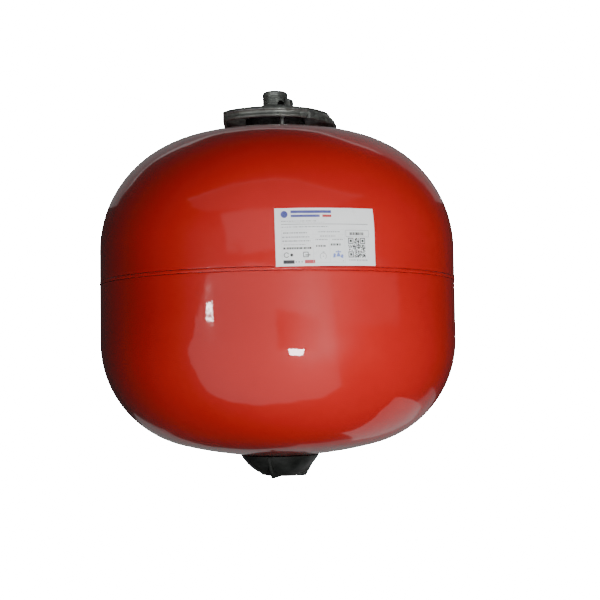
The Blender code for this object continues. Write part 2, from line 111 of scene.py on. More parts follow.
def arc(center_x, center_z, radius, start, end, count):
    """Points of an arc in the radial plane; angles in degrees from outward towards up."""
    points = []
    for index in range(count + 1):
        angle = math.radians(start + (end - start) * index / count)
        points.append((center_x + radius * math.cos(angle), center_z + radius * math.sin(angle)))
    return points


def rounded(outline, radius, closed=True, count=4):
    """The outline with each corner replaced by a small curve that cuts it at the given radius."""
    points = []
    size = len(outline)
    for index in range(size):
        here = Vector(outline[index])
        if not closed and index in (0, size - 1):
            points.append(tuple(here))
            continue
        before = Vector(outline[index - 1])
        after = Vector(outline[(index + 1) % size])
        cut_in = min(radius, (before - here).length * 0.45)
        cut_out = min(radius, (after - here).length * 0.45)
        start = here + (before - here).normalized() * cut_in
        end = here + (after - here).normalized() * cut_out
        for step in range(count + 1):
            share = step / count
            point = start * (1 - share) ** 2 + here * 2 * share * (1 - share) + end * share ** 2
            points.append(tuple(point))
    return points


def turn(name, profile, material, steps, closed=True, shape=None, angle=35.0):
    """A profile turned about the axis.  It runs down its outer side.  shape moves each point."""
    vertices = []
    rows = len(profile)
    for step in range(steps):
        around = TAU * step / steps
        for x, z in profile:
            if shape is not None:
                x, z = shape(x, z, around)
            vertices.append((x * math.cos(around), x * math.sin(around), z))
    faces = []
    last = rows if closed else rows - 1
    for step in range(steps):
        left = step * rows
        right = ((step + 1) % steps) * rows
        for row in range(last):
            below = (row + 1) % rows
            faces.append((left + row, left + below, right + below, right + row))
    mesh = bpy.data.meshes.new(name)
    mesh.from_pydata(vertices, [], faces)
    tidy_mesh(mesh)
    shade(mesh, angle)
    return make_object(name, mesh, material)


def tidy_mesh(mesh):
    """Welds the points that meet on the axis and drops the faces that they close."""
    work = bmesh.new()
    work.from_mesh(mesh)
    bmesh.ops.remove_doubles(work, verts=work.verts, dist=0.000002)
    bmesh.ops.dissolve_degenerate(work, edges=work.edges, dist=0.000001)
    bmesh.ops.recalc_face_normals(work, faces=work.faces)
    work.to_mesh(mesh)
    work.free()


def prism(name, outline, width, bearing, material):
    """A flat outline in the radial plane at a bearing, given a width across that plane."""
    mesh = bpy.data.meshes.new(name)
    work = bmesh.new()
    front = [work.verts.new((x, -width / 2.0, z)) for x, z in outline]
    face = work.faces.new(front)
    swept = bmesh.ops.extrude_face_region(work, geom=[face])
    moved = [item for item in swept["geom"] if isinstance(item, bmesh.types.BMVert)]
    bmesh.ops.translate(work, verts=moved, vec=(0.0, width, 0.0))
    bmesh.ops.recalc_face_normals(work, faces=work.faces)
    bmesh.ops.rotate(work, verts=work.verts, matrix=Matrix.Rotation(to_angle(bearing), 3, "Z"))
    work.to_mesh(mesh)
    work.free()
    return make_object(name, mesh, material)


def to_angle(bearing):
    """Angle about Z, from +X, of a bearing in degrees from the front towards +X."""
    return math.radians(bearing - 90.0)


def bearing_of(around):
    """Bearing in degrees, from -180 to 180, of an angle about Z in radians."""
    return (math.degrees(around) + 90.0 + 180.0) % 360.0 - 180.0


def at_bearing(radius, bearing, z):
    angle = to_angle(bearing)
    return Vector((radius * math.cos(angle), radius * math.sin(angle), z))


def apply_modifiers(obj):
    graph = bpy.context.evaluated_depsgraph_get()
    mesh = bpy.data.meshes.new_from_object(obj.evaluated_get(graph))
    obj.modifiers.clear()
    obj.data = mesh
    return obj


def bevel(obj, width, segments=3, angle=30.0):
    modifier = obj.modifiers.new("bevel", "BEVEL")
    modifier.width = width
    modifier.segments = segments
    modifier.limit_method = "ANGLE"
    modifier.angle_limit = math.radians(angle)
    modifier.harden_normals = False
    return obj


def unite(obj, others):
    """Joins solids into obj, which stays one closed body."""
    for other in others:
        modifier = obj.modifiers.new("union", "BOOLEAN")
        modifier.operation = "UNION"
        modifier.solver = "EXACT"
        modifier.object = other
    apply_modifiers(obj)
    for other in others:
        bpy.data.objects.remove(other, do_unlink=True)
    return obj


def cut(obj, cutters):
    for cutter in cutters:
        modifier = obj.modifiers.new("cut", "BOOLEAN")
        modifier.operation = "DIFFERENCE"
        modifier.solver = "EXACT"
        modifier.object = cutter
        modifier.material_mode = "TRANSFER"
    apply_modifiers(obj)
    for cutter in cutters:
        bpy.data.objects.remove(cutter, do_unlink=True)
    return obj


def place(obj, body, slot, *nodes):
    """Sets the piece on its body and hides the CAD nodes that it stands for; the slot is not used."""
    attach(obj, body)
    if nodes:
        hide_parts(*nodes)
    return obj


# ---------------------------------------------------------------- materials

class Nodes:
    """A small helper that adds shader nodes to one material."""

    def __init__(self, name, color, roughness, metallic=0.0):
        self.material = bpy.data.materials.new(name)
        self.material.use_nodes = True
        self.tree = self.material.node_tree
        self.shader = self.tree.nodes["Principled BSDF"]
        self.set("Base Color", (*color, 1.0))
        self.set("Roughness", roughness)
        self.set("Metallic", metallic)
        self.material.diffuse_color = (*color, 1.0)
        self.coords = self.add("ShaderNodeTexCoord").outputs["Object"]

    def add(self, kind, **values):
        node = self.tree.nodes.new(kind)
        for key, value in values.items():
            setattr(node, key, value)
        return node

    def set(self, socket, value):
        self.shader.inputs[socket].default_value = value

    def link(self, output, target):
        self.tree.links.new(output, target)

    def noise(self, scale, detail=3.0, roughness=0.5, stretch=(1.0, 1.0, 1.0)):
        mapping = self.add("ShaderNodeMapping")
        mapping.inputs["Scale"].default_value = stretch
        self.link(self.coords, mapping.inputs["Vector"])
        node = self.add("ShaderNodeTexNoise")
        node.inputs["Scale"].default_value = scale
        node.inputs["Detail"].default_value = detail
        node.inputs["Roughness"].default_value = roughness
        self.link(mapping.outputs["Vector"], node.inputs["Vector"])
        return node.outputs["Fac"]

    def cells(self, scale, feature="F1", stretch=(1.0, 1.0, 1.0)):
        mapping = self.add("ShaderNodeMapping")
        mapping.inputs["Scale"].default_value = stretch
        self.link(self.coords, mapping.inputs["Vector"])
        node = self.add("ShaderNodeTexVoronoi", feature=feature)
        node.inputs["Scale"].default_value = scale
        self.link(mapping.outputs["Vector"], node.inputs["Vector"])
        return node

    def ramp(self, factor, stops):
        node = self.add("ShaderNodeValToRGB")
        ramp = node.color_ramp
        while len(ramp.elements) < len(stops):
            ramp.elements.new(0.5)
        for element, (position, color) in zip(ramp.elements, stops):
            element.position = position
            element.color = (*color, 1.0) if len(color) == 3 else color
        self.link(factor, node.inputs["Fac"])
        return node.outputs["Color"]

    def span(self, factor, low, high, to_low, to_high):
        node = self.add("ShaderNodeMapRange")
        node.inputs["From Min"].default_value = low
        node.inputs["From Max"].default_value = high
        node.inputs["To Min"].default_value = to_low
        node.inputs["To Max"].default_value = to_high
        self.link(factor, node.inputs["Value"])
        return node.outputs["Result"]

    def bump(self, factor, distance, strength=1.0, after=None):
        node = self.add("ShaderNodeBump")
        node.inputs["Distance"].default_value = distance
        node.inputs["Strength"].default_value = strength
        self.link(factor, node.inputs["Height"])
        if after is not None:
            self.link(after, node.inputs["Normal"])
        return node.outputs["Normal"]

    def to(self, output, socket):
        self.link(output, self.shader.inputs[socket])


def make_enamel():
    m = Nodes("red_enamel", (0.46, 0.012, 0.009), 0.4)
    m.set("Coat Weight", 1.0)
    m.set("Coat Roughness", 0.035)
    m.set("Coat IOR", 1.55)
    m.set("Specular IOR Level", 0.3)
    tone = m.ramp(m.noise(9.0, 4.0), [(0.3, (0.43, 0.011, 0.008)), (0.7, (0.49, 0.013, 0.010))])
    m.to(tone, "Base Color")
    m.to(m.span(m.noise(60.0, 4.0), 0.3, 0.7, 0.3, 0.42), "Roughness")
    peel = m.bump(m.noise(260.0, 2.0), 0.00004, 0.5)
    wave = m.bump(m.noise(34.0, 1.0), 0.0006, 0.5, peel)
    m.to(peel, "Normal")
    m.to(wave, "Coat Normal")
    return m.material


def make_zinc(name="galvanised_steel", tint=(0.40, 0.43, 0.40)):
    m = Nodes(name, tint, 0.42, 0.85)
    spangle = m.cells(210.0)
    dark = tuple(c * 0.72 for c in tint)
    light = tuple(min(1.0, c * 1.22) for c in tint)
    m.to(m.ramp(spangle.outputs["Color"], [(0.1, dark), (0.9, light)]), "Base Color")
    m.to(m.span(m.noise(420.0, 5.0), 0.3, 0.7, 0.3, 0.5), "Roughness")
    m.to(m.bump(m.noise(700.0, 5.0), 0.00008, 0.6), "Normal")
    return m.material


def make_steel():
    m = Nodes("bare_steel", (0.48, 0.48, 0.47), 0.35, 1.0)
    m.to(m.ramp(m.noise(150.0, 5.0), [(0.3, (0.40, 0.40, 0.40)), (0.7, (0.56, 0.56, 0.55))]), "Base Color")
    m.to(m.span(m.noise(500.0, 4.0), 0.3, 0.7, 0.28, 0.45), "Roughness")
    m.to(m.bump(m.noise(900.0, 4.0, stretch=(1.0, 1.0, 6.0)), 0.00004, 0.5), "Normal")
    return m.material


def make_brass():
    m = Nodes("brass", (0.66, 0.45, 0.16), 0.3, 1.0)
    m.to(m.ramp(m.noise(300.0, 5.0), [(0.3, (0.56, 0.37, 0.12)), (0.7, (0.74, 0.53, 0.22))]), "Base Color")
    m.to(m.span(m.noise(800.0, 4.0), 0.3, 0.7, 0.2, 0.38), "Roughness")
    m.to(m.bump(m.noise(1600.0, 3.0, stretch=(1.0, 1.0, 8.0)), 0.00002, 0.5), "Normal")
    return m.material


def make_black_plastic():
    m = Nodes("black_plastic", (0.012, 0.013, 0.012), 0.42)
    m.set("Specular IOR Level", 0.5)
    tone = m.ramp(m.noise(120.0, 6.0, 0.6), [(0.35, (0.008, 0.009, 0.008)), (0.72, (0.022, 0.024, 0.022))])
    m.to(tone, "Base Color")
    m.to(m.span(m.noise(90.0, 5.0), 0.3, 0.7, 0.3, 0.55), "Roughness")
    grain = m.bump(m.noise(1500.0, 3.0), 0.00006, 0.5)
    m.to(m.bump(m.noise(150.0, 2.0), 0.0003, 0.4, grain), "Normal")
    return m.material


def make_rubber():
    m = Nodes("black_rubber", (0.02, 0.02, 0.02), 0.7)
    m.to(m.ramp(m.noise(80.0, 5.0), [(0.3, (0.014, 0.014, 0.014)), (0.7, (0.032, 0.031, 0.030))]), "Base Color")
    m.to(m.span(m.noise(200.0, 4.0), 0.3, 0.7, 0.6, 0.85), "Roughness")
    m.to(m.bump(m.noise(900.0, 4.0), 0.00008, 0.5), "Normal")
    return m.material


def make_film():
    m = Nodes("label_film", (0.82, 0.85, 0.86), 0.32)
    m.to(m.ramp(m.noise(40.0, 3.0), [(0.3, (0.80, 0.83, 0.84)), (0.7, (0.85, 0.87, 0.87))]), "Base Color")
    m.to(m.span(m.noise(200.0, 4.0), 0.3, 0.7, 0.25, 0.4), "Roughness")
    m.to(m.bump(m.noise(120.0, 2.0), 0.0001, 0.4), "Normal")
    return m.material


def make_ink(name, color):
    m = Nodes(name, color, 0.45)
    light = tuple(c + (1.0 - c) * 0.08 for c in color)
    m.to(m.ramp(m.noise(1800.0, 2.0), [(0.35, color), (0.75, light)]), "Base Color")
    return m.material


ENAMEL = make_enamel()
ZINC = make_zinc()
# Near-black copy of the zinc: painted shade for the inner faces of the nozzle's drain pocket.
POCKET_SHADE_ZINC = make_zinc("galvanised_steel_painted_shade", (0.03, 0.03, 0.028))
# Lighter copy of the zinc: painted highlight, so that the pin shows as a bright dot in the shaded gap under the
# plate.
PIN_HIGHLIGHT_ZINC = make_zinc("galvanised_steel_painted_highlight", (0.62, 0.66, 0.63))
STEEL = make_steel()
BRASS = make_brass()
PLASTIC = make_black_plastic()
RUBBER = make_rubber()
FILM = make_film()
INKS = {
    "black": make_ink("ink_black", (0.02, 0.02, 0.025)),
    "grey": make_ink("ink_grey", (0.30, 0.31, 0.33)),
    "pale": make_ink("ink_pale", (0.55, 0.56, 0.58)),
    "blue": make_ink("ink_blue", (0.06, 0.07, 0.30)),
    "tap": make_ink("ink_tap", (0.16, 0.22, 0.55)),
    "red": make_ink("ink_red", (0.45, 0.03, 0.04)),
}


# ---------------------------------------------------------------- camera, floor and light

PAPER = 40.0                        # brightness of the paper behind the vessel
ROOM = 0.03                         # light from all round the dim room
WINDOW = 0.7                        # brightness of the window cards; the other cards are shares of it
LAMP = 60.0                         # brightness of the two small lamps
KEY = 5.6                           # power of the front softbox, in watts
KEY_AWAY = 0.75
KEY_SIZE = 0.3
LOW_SHARE = 0.15                    # power of the softbox below, as a share of the front one
LOW_AWAY = 2.4
LOW_SIZE = 1.2
CAMERA_AWAY = 6.6 * BODY_RADIUS
CAMERA_DROP = 0.5 * BODY_RADIUS
CAMERA_LENS = 69.6
CAMERA_ROLL = math.radians(-0.886)
AIM = Vector((0.0176, 0.0, SEAM_Z - 0.0133))


def make_camera():
    data = bpy.data.cameras.new("camera")
    data.lens = CAMERA_LENS
    data.sensor_width = 36.0
    data.dof.use_dof = False
    camera = bpy.data.objects.new("camera", data)
    bpy.context.scene.collection.objects.link(camera)
    camera.location = (0.0, -CAMERA_AWAY, SEAM_Z - CAMERA_DROP)
    look = AIM - camera.location
    facing = look.to_track_quat("-Z", "Y").to_matrix()
    camera.rotation_euler = (facing @ Matrix.Rotation(CAMERA_ROLL, 3, "Z")).to_euler()
    bpy.context.scene.camera = camera


def seen_white(tree, plain, strength):
    """Mixes a plain white glow, which only the camera sees, over a shader or background."""
    glow = tree.nodes.new("ShaderNodeEmission")
    glow.inputs["Color"].default_value = (1.0, 1.0, 1.0, 1.0)
    glow.inputs["Strength"].default_value = strength
    path = tree.nodes.new("ShaderNodeLightPath")
    mix = tree.nodes.new("ShaderNodeMixShader")
    tree.links.new(path.outputs["Is Camera Ray"], mix.inputs["Fac"])
    tree.links.new(plain, mix.inputs[1])
    tree.links.new(glow.outputs["Emission"], mix.inputs[2])
    return mix.outputs["Shader"]


def make_floor():
    m = Nodes("floor", (0.85, 0.85, 0.84), 0.6)
    m.to(m.ramp(m.noise(3.0, 2.0), [(0.3, (0.84, 0.84, 0.83)), (0.7, (0.87, 0.87, 0.86))]), "Base Color")
    output = m.tree.nodes["Material Output"]
    m.link(seen_white(m.tree, m.shader.outputs["BSDF"], PAPER), output.inputs["Surface"])
    mesh = bpy.data.meshes.new("floor")
    half = 30.0
    level = -0.16
    corners = [(-half, -half, level), (half, -half, level), (half, half, level), (-half, half, level)]
    mesh.from_pydata(corners, [], [(0, 1, 2, 3)])
    floor = make_object("floor", mesh, m.material)
    floor.visible_glossy = False
    floor.visible_diffuse = False


def make_softbox(name, location, target, width, height, power, color=(1.0, 1.0, 1.0)):
    data = bpy.data.lights.new(name, "AREA")
    data.shape = "RECTANGLE"
    data.size = width
    data.size_y = height
    data.energy = power
    data.color = color
    light = bpy.data.objects.new(name, data)
    bpy.context.scene.collection.objects.link(light)
    light.location = location
    light.rotation_euler = (Vector(target) - Vector(location)).to_track_quat("-Z", "Y").to_euler()
    return light


def make_world():
    world = bpy.data.worlds.new("studio")
    bpy.context.scene.world = world
    world.use_nodes = True
    tree = world.node_tree
    tree.nodes.clear()
    output = tree.nodes.new("ShaderNodeOutputWorld")
    lit = tree.nodes.new("ShaderNodeBackground")
    lit.inputs["Color"].default_value = (1.0, 0.98, 0.96, 1.0)
    lit.inputs["Strength"].default_value = ROOM
    tree.links.new(seen_white(tree, lit.outputs["Background"], PAPER), output.inputs["Surface"])


# ---------------------------------------------------------------- shells

class Dished:
    """A dished end: a skirt, a knuckle arc and a crown arc, at heights above the seam."""

    def __init__(self, knuckle, crown, skirt):
        self.knuckle = knuckle
        self.crown = crown
        self.skirt = skirt
        self.knuckle_x = BODY_RADIUS - knuckle
        self.crown_z = skirt - math.sqrt((crown - knuckle) ** 2 - self.knuckle_x ** 2)
        self.meet = math.degrees(math.atan2(skirt - self.crown_z, self.knuckle_x))

    def radius_at(self, height):
        above = max(0.0, height - self.skirt)
        return self.knuckle_x + math.sqrt(self.knuckle ** 2 - above ** 2)

    def outline(self, radius, inset, crown_steps, knuckle_steps):
        """From a radius on the crown, out and down to the top of the skirt, inset by a wall."""
        crown = self.crown - inset
        start = math.degrees(math.acos(radius / crown))
        points = arc(0.0, self.crown_z, crown, start, self.meet, crown_steps)
        knuckle = self.knuckle - inset
        return points + arc(self.knuckle_x, self.skirt, knuckle, self.meet, 0.0, knuckle_steps)[1:]


UPPER = Dished(UPPER_KNUCKLE, UPPER_CROWN, UPPER_SKIRT)
LOWER = Dished(LOWER_KNUCKLE, LOWER_CROWN, LOWER_SKIRT)
LIP = 0.35 * MM


def skirt_rows(from_z, to_z):
    """Rows that divide the straight wall evenly, without its first end."""
    return [(BODY_RADIUS, from_z + (to_z - from_z) * step / 8) for step in range(1, 9)]


def make_upper_shell():
    hole = NOZZLE_HOLE
    outer = [(x, SEAM_Z + z) for x, z in UPPER.outline(hole, 0.0, 40, 40)]
    inner = [(x, SEAM_Z + z) for x, z in UPPER.outline(hole, SHELL_WALL, 20, 20)]
    outer += skirt_rows(SEAM_Z + UPPER_SKIRT, UPPER_FOOT + 2.0 * LIP)
    outer.append((BODY_RADIUS, UPPER_FOOT + LIP))
    outer.append((BODY_RADIUS - LIP * 0.4, UPPER_FOOT))
    inner.append((BODY_RADIUS - SHELL_WALL, UPPER_FOOT))
    shell = turn("upper_shell_fine", outer + inner[::-1], ENAMEL, FINE)
    place(shell, "vessel", "red_enamel", "upper_shell")


def make_lower_shell():
    top = 2.0 * SEAM_Z - UPPER_FOOT
    outer = [(BODY_RADIUS - LIP * 0.4, top), (BODY_RADIUS, top - LIP)]
    outer += [(BODY_RADIUS, top - 2.0 * LIP)] + skirt_rows(top - 2.0 * LIP, SEAM_Z - LOWER_SKIRT)[:-1]
    down = LOWER.outline(DIMPLE_MOUTH, 0.0, 40, 40)
    outer += [(x, SEAM_Z - z) for x, z in down[::-1]]
    mouth_z = outer[-1][1]
    dimple = [
        (DIMPLE_MOUTH, mouth_z),
        (DIMPLE_MOUTH - 1.3 * MM, mouth_z - 0.1 * MM),
        (DIMPLE_MOUTH - 2.3 * MM, mouth_z + 0.9 * MM),
        (DIMPLE_FLAT + 1.0 * MM, DIMPLE_FLOOR - 1.2 * MM),
        (DIMPLE_FLAT, DIMPLE_FLOOR),
        (VALVE_HOLE, DIMPLE_FLOOR),
    ]
    outer += rounded(dimple, 1.6 * MM, closed=False, count=5)[1:]
    inner = [(BODY_RADIUS - SHELL_WALL, top)]
    down = LOWER.outline(DIMPLE_MOUTH, SHELL_WALL, 20, 20)
    inner += [(x, SEAM_Z - z) for x, z in down[::-1]]
    raised = [(x - 0.3 * MM, z + SHELL_WALL) for x, z in dimple[1:-1]]
    raised.append((VALVE_HOLE, DIMPLE_FLOOR + SHELL_WALL))
    inner += rounded(raised, 1.2 * MM, closed=False, count=4)
    shell = turn("lower_shell_fine", outer + inner[::-1], ENAMEL, FINE)
    place(shell, "vessel", "red_enamel", "lower_shell", "valve_recess")


def weld_shape(x, z, around):
    """Fine ripples along the bead, and a rough restart patch a little right of the front."""
    if x < BODY_RADIUS + 0.02 * MM:
        return x, z
    bearing = bearing_of(around)
    ripple = 0.05 * math.sin(around * 310.0) + 0.04 * math.sin(around * 97.0)
    patch = math.exp(-((bearing - 7.5) / 4.0) ** 2)
    ripple += patch * (0.16 * math.sin(around * 240.0) + 0.10 * math.sin(around * 431.0))
    return x + (ripple - 0.12 * (1.0 - patch)) * MM, z


def make_girth_weld():
    half = (WELD_TOP - WELD_FOOT) / 2.0
    bead = arc(BODY_RADIUS - 0.2 * MM, SEAM_Z, half * 0.98, 80.0, -80.0, 10)
    proud = WELD_RADIUS - BODY_RADIUS
    profile = [(BODY_RADIUS - 0.1 * MM, WELD_TOP)]
    for _, z in bead:
        share = (z - SEAM_Z) / half
        profile.append((BODY_RADIUS + proud * (1.0 - share * share), z))
    profile.append((BODY_RADIUS - 0.1 * MM, WELD_FOOT))
    profile.append((WELD_ROOT, WELD_FOOT))
    profile.append((WELD_ROOT, WELD_TOP))
    weld = turn("girth_weld_fine", profile, ENAMEL, 1440, shape=weld_shape, angle=60.0)
    place(weld, "vessel", "red_enamel", "girth_weld")


# ---------------------------------------------------------------- rings and threads

def fine_ring(node, material, slot, radius, steps=SMALL, body="vessel", shape=None):
    """A turned ring with eased edges, as large as its CAD node."""
    outer, inner, top, foot = measure(node)
    square = [(outer, top), (outer, foot), (inner, foot), (inner, top)]
    ring = turn(node + "_fine", rounded(square, radius), material, steps, shape=shape)
    return place(ring, body, slot, node)


def thread_rows(radius, top, foot, pitch):
    """Points down the outer side of a thread, close enough to draw its flanks."""
    rows = int((top - foot) / pitch * 10)
    return [(radius, top + (foot - top) * row / rows) for row in range(rows + 1)]


def thread_shape(radius, top, foot, pitch, depth, run_out):
    """Presses a right-hand thread groove into the points that lie on the radius."""
    def shape(x, z, around):
        if abs(x - radius) > 0.000001 or z > top or z < foot:
            return x, z
        phase = (z / pitch - around / TAU) % 1.0
        groove = min(1.0, 0.8 - 0.8 * math.cos(TAU * phase))
        fade = max(0.0, min(1.0, (top - z) / run_out, (z - foot) / run_out))
        return x - depth * groove * fade, z
    return shape


# ---------------------------------------------------------------- nozzle, plate and nut

NOZZLE_RADIUS, NOZZLE_BORE, NOZZLE_TOP, NOZZLE_FOOT = measure("water_nozzle")
PLATE_HOLE = measure("mounting_plate")[1]
PLATE_TOP = measure("lock_washer")[3] - 0.3 * MM
PLATE_RADIUS = 45.4 * MM
PLATE_THICK = 2.5 * MM
PLATE_FOOT = measure("mounting_plate")[3]
PLATE_HIGH = PLATE_TOP - PLATE_FOOT


def make_water_nozzle():
    """Stub with a G 1/2 thread, a rounded end and one drain pocket near the nut, whose inner faces are painted shade.
    """
    pitch = 1.814 * MM
    thread_top = NOZZLE_TOP - 2.2 * MM
    thread_foot = NOZZLE_TOP - 17.0 * MM
    crown = arc(NOZZLE_RADIUS - 2.2 * MM, thread_top, 2.2 * MM, 90.0, 0.0, 8)
    rows = thread_rows(NOZZLE_RADIUS, thread_top, thread_foot, pitch)
    outline = [(NOZZLE_BORE + 0.4 * MM, NOZZLE_TOP)] + crown[:-1] + rows
    outline += [(NOZZLE_RADIUS, NOZZLE_FOOT + 0.3 * MM), (NOZZLE_RADIUS - 0.3 * MM, NOZZLE_FOOT)]
    outline += [(NOZZLE_BORE, NOZZLE_FOOT), (NOZZLE_BORE, NOZZLE_TOP - 0.4 * MM)]
    groove = thread_shape(NOZZLE_RADIUS, thread_top, thread_foot, pitch, 0.32 * MM, 2.0 * MM)
    nozzle = turn("water_nozzle_fine", outline, ZINC, SMALL, shape=groove)

    half = 2.9 * MM
    sill = NOZZLE_TOP - 13.2 * MM
    spring_line = NOZZLE_TOP - 11.3 * MM
    arch = [(half, sill)] + arc(0.0, spring_line, half, 0.0, 180.0, 14) + [(-half, sill)]
    mesh = bpy.data.meshes.new("drain_pocket")
    work = bmesh.new()
    front = [work.verts.new((x, 0.0, z)) for x, z in arch]
    swept = bmesh.ops.extrude_face_region(work, geom=[work.faces.new(front)])
    moved = [item for item in swept["geom"] if isinstance(item, bmesh.types.BMVert)]
    bmesh.ops.translate(work, verts=moved, vec=(0.0, 4.0 * MM, 0.0))
    bmesh.ops.recalc_face_normals(work, faces=work.faces)
    bmesh.ops.translate(work, verts=work.verts, vec=(0.0, -NOZZLE_BORE - 4.6 * MM, 0.0))
    turned = Matrix.Rotation(math.radians(POCKET_BEARING), 3, "Z")
    bmesh.ops.rotate(work, verts=work.verts, matrix=turned)
    work.to_mesh(mesh)
    work.free()
    # The cut hands the near-black zinc to the pocket's inner faces: painted shade in the recess.
    pocket = make_object("drain_pocket", mesh, POCKET_SHADE_ZINC)
    cut(nozzle, [pocket])
    shade(nozzle.data)
    place(nozzle, "vessel", "galvanised_steel", "water_nozzle")


def make_nozzle_weld():
    """Fillet of weld round the stub, with the ripples of the torch."""
    outer, inner, top, foot = measure("nozzle_weld")
    outline = [(inner, top)]
    for index in range(9):
        share = index / 8
        dip = 0.5 * MM * math.sin(math.pi * share)
        outline.append((inner + 0.4 * MM + (outer - inner - 0.4 * MM) * share,
                        top + (foot + 0.5 * MM - top) * share + dip))
    outline += [(outer, foot), (inner, foot)]

    def ripple(x, z, around):
        if x < inner + 0.3 * MM or z < foot + 0.2 * MM:
            return x, z
        return x, z + 0.12 * MM * math.sin(around * 46.0)

    weld = turn("nozzle_weld_fine", outline, ZINC, FINE * 2, shape=ripple, angle=60.0)
    place(weld, "vessel", "galvanised_steel", "nozzle_weld")


def smooth_step(value, low, high):
    share = max(0.0, min(1.0, (value - low) / (high - low)))
    return share * share * (3.0 - 2.0 * share)


PLATE_SIDE = 41.1 * MM
PLATE_CORNER = -56.0                # bearing of the corner where the flat left side begins


def plate_shape(x, z, around):
    """Flat left side with a square corner, beads round the front, and a flared right side."""
    bearing = bearing_of(around)
    outside = smooth_step(x, PLATE_RADIUS - 9.0 * MM, PLATE_RADIUS - PLATE_THICK)
    if outside <= 0.0:
        return x, z
    down = PLATE_TOP - z
    left = smooth_step(-bearing, 10.0, -PLATE_CORNER) * (1.0 - smooth_step(-bearing, 124.0, 170.0))
    wide = 1.0 - smooth_step(bearing, 60.0, 100.0)
    inner = x < PLATE_RADIUS - PLATE_THICK * 0.5
    x += outside * (0.3 * MM * wide + 3.4 * MM * left)
    face = 0.0 if inner else smooth_step(down, 0.2 * MM, 1.2 * MM)
    beaded = smooth_step(bearing, -75.0, -45.0) * (1.0 - smooth_step(bearing, BEAD_END - 1.2, BEAD_END))
    upper = math.exp(-((down - 2.6 * MM) / (0.75 * MM)) ** 2)
    lower = math.exp(-((down - 7.2 * MM) / (0.75 * MM)) ** 2)
    groove = math.exp(-((down - 4.9 * MM) / (1.2 * MM)) ** 2)
    x += face * beaded * (0.55 * MM * (upper + lower) - 0.55 * MM * groove)
    notch = math.exp(-((bearing - BEAD_END - 0.8) / 1.1) ** 2)
    x -= face * notch * 1.3 * MM
    right = smooth_step(bearing, BEAD_END, BEAD_END + 2.0) * (1.0 - smooth_step(bearing, 130.0, 165.0))
    shoulder = smooth_step(down, 0.0, 0.5 * MM) * (1.0 - smooth_step(down, 0.0, 5.0 * MM))
    x -= (0.0 if inner else outside) * right * 2.4 * MM * shoulder
    flare = smooth_step(bearing, 50.0, 85.0) * (1.0 - smooth_step(bearing, 110.0, 160.0))
    x += outside * flare * 4.0 * MM * min(1.0, max(0.0, down / PLATE_HIGH))
    sine = -math.sin(math.radians(bearing))
    limit = PLATE_SIDE - (PLATE_THICK if inner and down > PLATE_THICK * 0.9 else 0.0)
    if sine > 0.0 and x * sine > limit:
        x = limit / sine
    return x, z


def make_mounting_plate():
    """Pressed plate: flat face, tight shoulder and a turned-down rim."""
    bend = 2.0 * MM
    outline = [(PLATE_HOLE + 0.4 * MM, PLATE_TOP)]
    flat = PLATE_RADIUS - bend
    outline += [(PLATE_HOLE + (flat - PLATE_HOLE) * step / 16, PLATE_TOP) for step in range(1, 16)]
    outline += arc(flat, PLATE_TOP - bend, bend, 90.0, 0.0, 16)
    rim = 24
    straight = PLATE_TOP - bend
    foot = PLATE_FOOT + 0.3 * MM
    outline += [(PLATE_RADIUS, straight + (foot - straight) * step / rim) for step in range(1, rim + 1)]
    outline += [(PLATE_RADIUS - 0.3 * MM, PLATE_FOOT), (PLATE_RADIUS - PLATE_THICK + 0.3 * MM, PLATE_FOOT)]
    inner = PLATE_RADIUS - PLATE_THICK
    outline.append((inner, PLATE_FOOT + 0.3 * MM))
    outline += arc(inner - 0.5 * MM, PLATE_TOP - PLATE_THICK - 0.5 * MM, 0.5 * MM, 0.0, 90.0, 5)
    under = inner - 0.5 * MM
    outline += [(under + (PLATE_HOLE - under) * step / 12, PLATE_TOP - PLATE_THICK) for step in range(1, 12)]
    outline += [(PLATE_HOLE + 0.4 * MM, PLATE_TOP - PLATE_THICK), (PLATE_HOLE, PLATE_TOP - PLATE_THICK + 0.4 * MM)]
    outline += [(PLATE_HOLE, PLATE_TOP - 0.4 * MM)]
    plate = turn("mounting_plate_fine", outline, ZINC, 720, shape=plate_shape)
    place(plate, "vessel", "galvanised_steel", "mounting_plate")


def make_lock_washer():
    """Washer with a fine serration on its rim."""
    outer = measure("lock_washer")[0]

    def serrate(x, z, around):
        tooth = 0.5 + 0.5 * math.cos(around * 48.0)
        return (x - 0.5 * MM * tooth if x > outer - 0.5 * MM else x), z

    fine_ring("lock_washer", ZINC, "galvanised_steel", 0.2 * MM, FINE * 2, shape=serrate)


def make_lock_nut():
    """Round nut with spanner notches and two upright lugs."""
    outer, inner, top, foot = measure("lock_nut")
    body_top = foot + 5.5 * MM
    chamfer = 0.9 * MM
    outline = [(inner + 0.5 * MM, body_top), (outer - chamfer, body_top), (outer, body_top - chamfer),
               (outer, foot + chamfer), (outer - chamfer, foot), (inner + 0.5 * MM, foot),
               (inner, foot + 0.5 * MM), (inner, body_top - 0.5 * MM)]

    def notch(x, z, around):
        phase = (math.degrees(around) + 5.0) % 60.0
        dip = smooth_step(phase, 22.0, 24.0) * (1.0 - smooth_step(phase, 36.0, 38.0))
        return (x - 1.1 * MM * dip if x > outer - 1.2 * MM else x), z

    nut = turn("lock_nut_fine", rounded(outline, 0.25 * MM, count=2), ZINC, FINE * 2, shape=notch)
    lugs = []
    for number, bearing in enumerate(LUG_BEARINGS):
        reach = 15.4 * MM
        lug = [(inner + 0.4 * MM, top), (reach - 1.3 * MM, top - 0.2 * MM), (reach, top - 1.8 * MM),
               (reach, foot + 1.0 * MM), (inner + 0.4 * MM, foot + 1.0 * MM)]
        solid = prism("lug_%d" % (number + 1), lug, 6.0 * MM, bearing, ZINC)
        bevel(solid, 0.45 * MM)
        lugs.append(apply_modifiers(solid))
    unite(nut, lugs)
    shade(nut.data)
    place(nut, "vessel", "galvanised_steel", "lock_nut")


